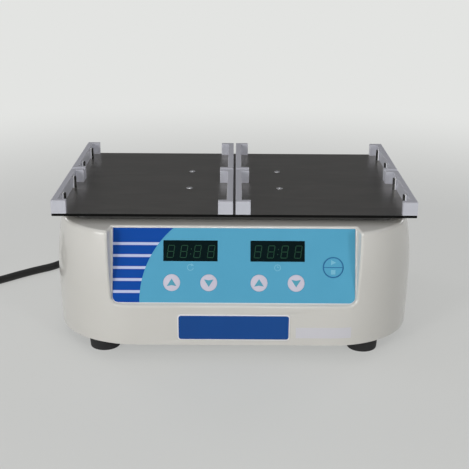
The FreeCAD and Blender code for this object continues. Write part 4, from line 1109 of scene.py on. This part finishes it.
# Seven-segment digits seen in the smoked windows, with two dots between the pairs
digitSet = {
    "windows": {"speedDigits": -32.9, "timeDigits": 32.9},
    "down": 19.4,
    "spots": (-14.8, -4.9, 5.3, 15.6),
    "width": 5.3,
    "height": 9.8,
    "bar": 0.62,
    "dot": 0.42,
    "dotSides": 16,
    "dotX": 0.35,
    "dotUp": 1.9,
    "slant": 0.14,
    "gap": 0.1,
    "lift": 0.6,
    "thick": 0.02,
}


def segmentLoops(centreX, centreY):
    # Three lying bars and four standing ones, each with six corners, all slanted as one
    bar, gap = digitSet["bar"] / 2, digitSet["gap"]
    wide = digitSet["width"] / 2 - bar
    high = digitSet["height"] / 2 - bar
    loops = []
    for y in (-high, 0, high):
        left, right = gap - wide, wide - gap
        corners = [(left, y), (left + bar, y + bar), (right - bar, y + bar)]
        corners += [(right, y), (right - bar, y - bar), (left + bar, y - bar)]
        loops.append(corners)
    for x in (-wide, wide):
        for low, top in ((gap - high, -gap), (gap, high - gap)):
            corners = [(x, low), (x + bar, low + bar), (x + bar, top - bar)]
            corners += [(x, top), (x - bar, top - bar), (x - bar, low + bar)]
            loops.append(corners)
    return [[(centreX + x + digitSet["slant"] * y, centreY + y) for x, y in loop] for loop in loops]


def makeDigits(name, centre):
    down = -digitSet["down"]
    loops = []
    for spot in digitSet["spots"]:
        loops.extend(segmentLoops(centre + spot, down))
    for y in (-digitSet["dotUp"], digitSet["dotUp"]):
        dotX = centre + digitSet["dotX"] + digitSet["slant"] * y
        loops.append(roundLoop(dotX, down + y, digitSet["dot"], digitSet["dotSides"]))
    digits = flatOutline(name, loops, digitSet["thick"], digitSet["lift"])
    dress(digits, segmentBars, "base_unit")


for name, centre in digitSet["windows"].items():
    makeDigits(name, centre)
print("panel printed")

# Countersunk platform screws with a round socket, modelled once and copied
screwSet = {
    "head": 2.8,
    "headDeep": 1.3,
    "top": 107.0,
    "shankShare": 0.54,
    "shankDeep": 4.1,
    "chamfer": 0.3,
    "crown": 0.2,
    "rim": 0.25,
    "dish": 0.12,
    "socket": 1.25,
    "socketDeep": 1.2,
    "sides": 36,
    "smoothBelow": 40,
    "x": 37.5,
    "rows": (-14.8, 39.7),
}


def extrudeBy(depth):
    bpy.ops.mesh.extrude_region_move(TRANSFORM_OT_translate={"value": (0, 0, -depth * mm)})


def makePlatformScrew():
    head, deep = screwSet["head"], screwSet["headDeep"]
    share = screwSet["shankShare"]
    floorRing = head - (screwSet["chamfer"] + screwSet["rim"]) - screwSet["socket"]
    selectNothing()
    bpy.ops.mesh.primitive_cylinder_add(
        vertices=screwSet["sides"], radius=head * mm, depth=deep * mm
    )
    screw = bpy.context.object
    settle(screw, Matrix.Translation(millimetres(0, 0, screwSet["top"] - deep / 2)))
    startEditing(screw)
    pick(screw, looksDown)
    bpy.ops.transform.resize(value=(share, share, 1))
    extrudeBy(screwSet["shankDeep"])
    pick(screw, looksUp)
    bpy.ops.mesh.inset(thickness=screwSet["chamfer"] * mm)
    bpy.ops.transform.translate(value=(0, 0, screwSet["crown"] * mm))
    bpy.ops.mesh.inset(thickness=screwSet["rim"] * mm)
    bpy.ops.mesh.inset(thickness=floorRing * mm)
    bpy.ops.transform.translate(value=(0, 0, -screwSet["dish"] * mm))
    extrudeBy(screwSet["socketDeep"])
    selectNothing()
    smooth(screw, screwSet["smoothBelow"])
    return screw


firstScrew = makePlatformScrew()
screwCopies = []
for side in (-1, 1):
    for y in screwSet["rows"]:
        move = millimetres(side * screwSet["x"], y, 0)
        screwCopies.append(duplicate(firstScrew, "platformScrewCopy", move))
bpy.data.objects.remove(firstScrew)
platformScrewSet = joined(screwCopies, "platformScrewSet")
dress(platformScrewSet, turnedSteel, "platform", ["platform_screws"])
print("screws set")

# The CAD nodes that keep their own shape get their real finishes, by name or by a word in it
keptFinishes = {
    "platform_plate": stainlessSheet,
    "sub_plate": milledAluminium,
    "panel_overlay": printedFilm,
    "display_windows": smokedAcrylic,
    "speed_display": displayEpoxy,
    "time_display": displayEpoxy,
    "base_plate": galvanisedSheet,
    "chassis_plate": milledAluminium,
    "control_board": solderMask,
    "supply_board": solderMask,
    "supply_parts": mouldedNylon,
    "tact_switches": mouldedNylon,
    "power_inlet": mouldedNylon,
    "switch_body": mouldedNylon,
    "power_rocker": mouldedNylon,
    "inlet_pins": nickelBrass,
    "plug_blades": nickelBrass,
}
wordFinishes = {
    "_bracket_": anodisedBar,
    "idler": groundSteel,
    "bearing": groundSteel,
    "hub": groundSteel,
    "shaft": groundSteel,
}


def finishOf(nodeName):
    if nodeName in keptFinishes:
        return keptFinishes[nodeName]
    for word, finish in wordFinishes.items():
        if word in nodeName:
            return finish
    return zincPlate


for nodeName, node in nodes.items():
    if node.type == "MESH":
        node.data.materials.clear()
        node.data.materials.append(finishOf(nodeName))
print("finishes given")

# Studio: a pale floor out to a pale horizon, and soft lamps before, above and behind, in metres
studioSet = {
    "aim": (0, 0, 0.06),
    "lamps": {
        "left": {"place": (-1.75, -2.25, 1.2), "size": 0.7, "power": 17.5},
        "right": {"place": (1.75, -2.25, 1.2), "size": 0.5, "power": 11.5},
        "sideLeft": {"place": (-2.1, -1.5, 0.7), "size": 0.7, "power": 10.0},
        "sideRight": {"place": (2.1, -1.5, 0.6), "size": 0.5, "power": 2.0},
        "lowLeft": {"place": (-1.7, -2.2, 0.65), "size": 0.5, "power": 13.0},
        "lowRight": {"place": (1.7, -2.2, 0.65), "size": 0.5, "power": 8.0},
        "front": {"place": (0.05, -1.9, 2.1), "size": 0.55, "power": 9.0},
        "above": {"place": (-0.3, 0.4, 1.6), "size": 1.2, "power": 3.0},
        "behindLeft": {"place": (-1.5, 1.5, 1.0), "size": 0.8, "power": 7.0},
        "behindRight": {"place": (1.5, 1.5, 1.0), "size": 0.8, "power": 7.0},
    },
}
# Within near, the floor shows its own colour under a lift of the pale one, and past far only the pale
floorSet = {
    "size": 80.0,
    "colour": "#b8b8b5",
    "dark": "#b5b5b2",
    "light": "#bbbbb8",
    "driftPerMetre": 2.0,
    "roughness": 0.7,
    "farColour": "#e3e4e2",
    "near": 0.32,
    "far": 0.95,
    "lift": 0.5,
}
# The sky's bands are heights of a direction, from 0 at the horizon to 1 overhead
skySet = {
    "low": "#6c6d70",
    "high": "#c6c8cc",
    "strength": 0.5,
    "riseFrom": 0.3,
    "riseTo": 0.85,
    "horizonFrom": 0.02,
    "horizonTo": 0.13,
}


def seenBy(tree):
    # One for rays from the camera and those mirrored or let through by the object, else none
    path = addNode(tree, "ShaderNodeLightPath")
    seen = addNode(
        tree,
        "ShaderNodeMath",
        {"operation": "ADD", "use_clamp": True},
        {0: path.outputs["Is Camera Ray"], 1: path.outputs["Is Glossy Ray"]},
    )
    seen = addNode(
        tree,
        "ShaderNodeMath",
        {"operation": "ADD", "use_clamp": True},
        {0: seen.outputs[0], 1: path.outputs["Is Transmission Ray"]},
    )
    return seen.outputs[0]


def makeFloor():
    # Near the object the floor takes its shadow; farther off it is evenly pale
    selectNothing()
    bpy.ops.mesh.primitive_plane_add(size=floorSet["size"], location=(0, 0, 0))
    floor = bpy.context.object
    floor.name = "studioFloor"
    material, tree, shader, coords = newSurface(
        "paintedFloor", floorSet["colour"], floorSet["roughness"]
    )
    tint(tree, shader, coords, floorSet["dark"], floorSet["light"], floorSet["driftPerMetre"])
    reach = addNode(tree, "ShaderNodeVectorMath", {"operation": "LENGTH"}, {0: coords})
    away = addNode(
        tree,
        "ShaderNodeMapRange",
        {"interpolation_type": "SMOOTHSTEP"},
        {
            "Value": reach.outputs["Value"],
            "From Min": floorSet["near"],
            "From Max": floorSet["far"],
            "To Min": floorSet["lift"],
        },
    )
    share = addNode(
        tree, "ShaderNodeMath", {"operation": "MULTIPLY"}, {0: seenBy(tree), 1: away.outputs[0]}
    )
    pale = addNode(
        tree, "ShaderNodeEmission", None, {"Color": linear(floorSet["farColour"]), "Strength": 1.0}
    )
    mix = addNode(
        tree,
        "ShaderNodeMixShader",
        None,
        {0: share.outputs[0], 1: shader.outputs[0], 2: pale.outputs[0]},
    )
    tree.links.new(mix.outputs[0], tree.nodes["Material Output"].inputs["Surface"])
    floor.data.materials.append(material)


def makeLamps():
    for name, lamp in studioSet["lamps"].items():
        selectNothing()
        bpy.ops.object.light_add(type="AREA", location=lamp["place"])
        light = bpy.context.object
        light.name = name + "Lamp"
        light.data.shape = "DISK"
        light.data.size = lamp["size"]
        light.data.energy = lamp["power"]
        aim = Vector(studioSet["aim"]) - light.location
        light.rotation_euler = aim.to_track_quat("-Z", "Y").to_euler()


def makeSky():
    # A dim sky that brightens overhead, with a pale band where the floor ends
    world = bpy.data.worlds.new("studioSky")
    bpy.context.scene.world = world
    world.use_nodes = True
    tree = world.node_tree
    sky = tree.nodes["Background"]
    sky.inputs["Strength"].default_value = skySet["strength"]
    coords = addNode(tree, "ShaderNodeTexCoord").outputs["Generated"]
    level = addNode(tree, "ShaderNodeSeparateXYZ", None, {"Vector": coords})
    rise = addNode(
        tree,
        "ShaderNodeMapRange",
        {"interpolation_type": "SMOOTHSTEP"},
        {"Value": level.outputs["Z"], "From Min": skySet["riseFrom"], "From Max": skySet["riseTo"]},
    )
    blend = addNode(
        tree,
        "ShaderNodeMix",
        {"data_type": "RGBA"},
        {"Factor": rise.outputs["Result"], 6: linear(skySet["low"]), 7: linear(skySet["high"])},
    )
    tree.links.new(blend.outputs[2], sky.inputs["Color"])
    near = addNode(
        tree,
        "ShaderNodeMapRange",
        {"interpolation_type": "SMOOTHSTEP"},
        {
            "Value": level.outputs["Z"],
            "From Min": skySet["horizonFrom"],
            "From Max": skySet["horizonTo"],
            "To Min": 1.0,
            "To Max": 0.0,
        },
    )
    share = addNode(
        tree, "ShaderNodeMath", {"operation": "MULTIPLY"}, {0: seenBy(tree), 1: near.outputs["Result"]}
    )
    pale = addNode(
        tree, "ShaderNodeBackground", None, {"Color": linear(floorSet["farColour"]), "Strength": 1.0}
    )
    mix = addNode(
        tree,
        "ShaderNodeMixShader",
        None,
        {0: share.outputs[0], 1: sky.outputs[0], 2: pale.outputs[0]},
    )
    tree.links.new(mix.outputs[0], tree.nodes["World Output"].inputs["Surface"])


makeFloor()
makeLamps()
makeSky()
bpy.context.scene.view_settings.view_transform = "Standard"
print("studio lit")
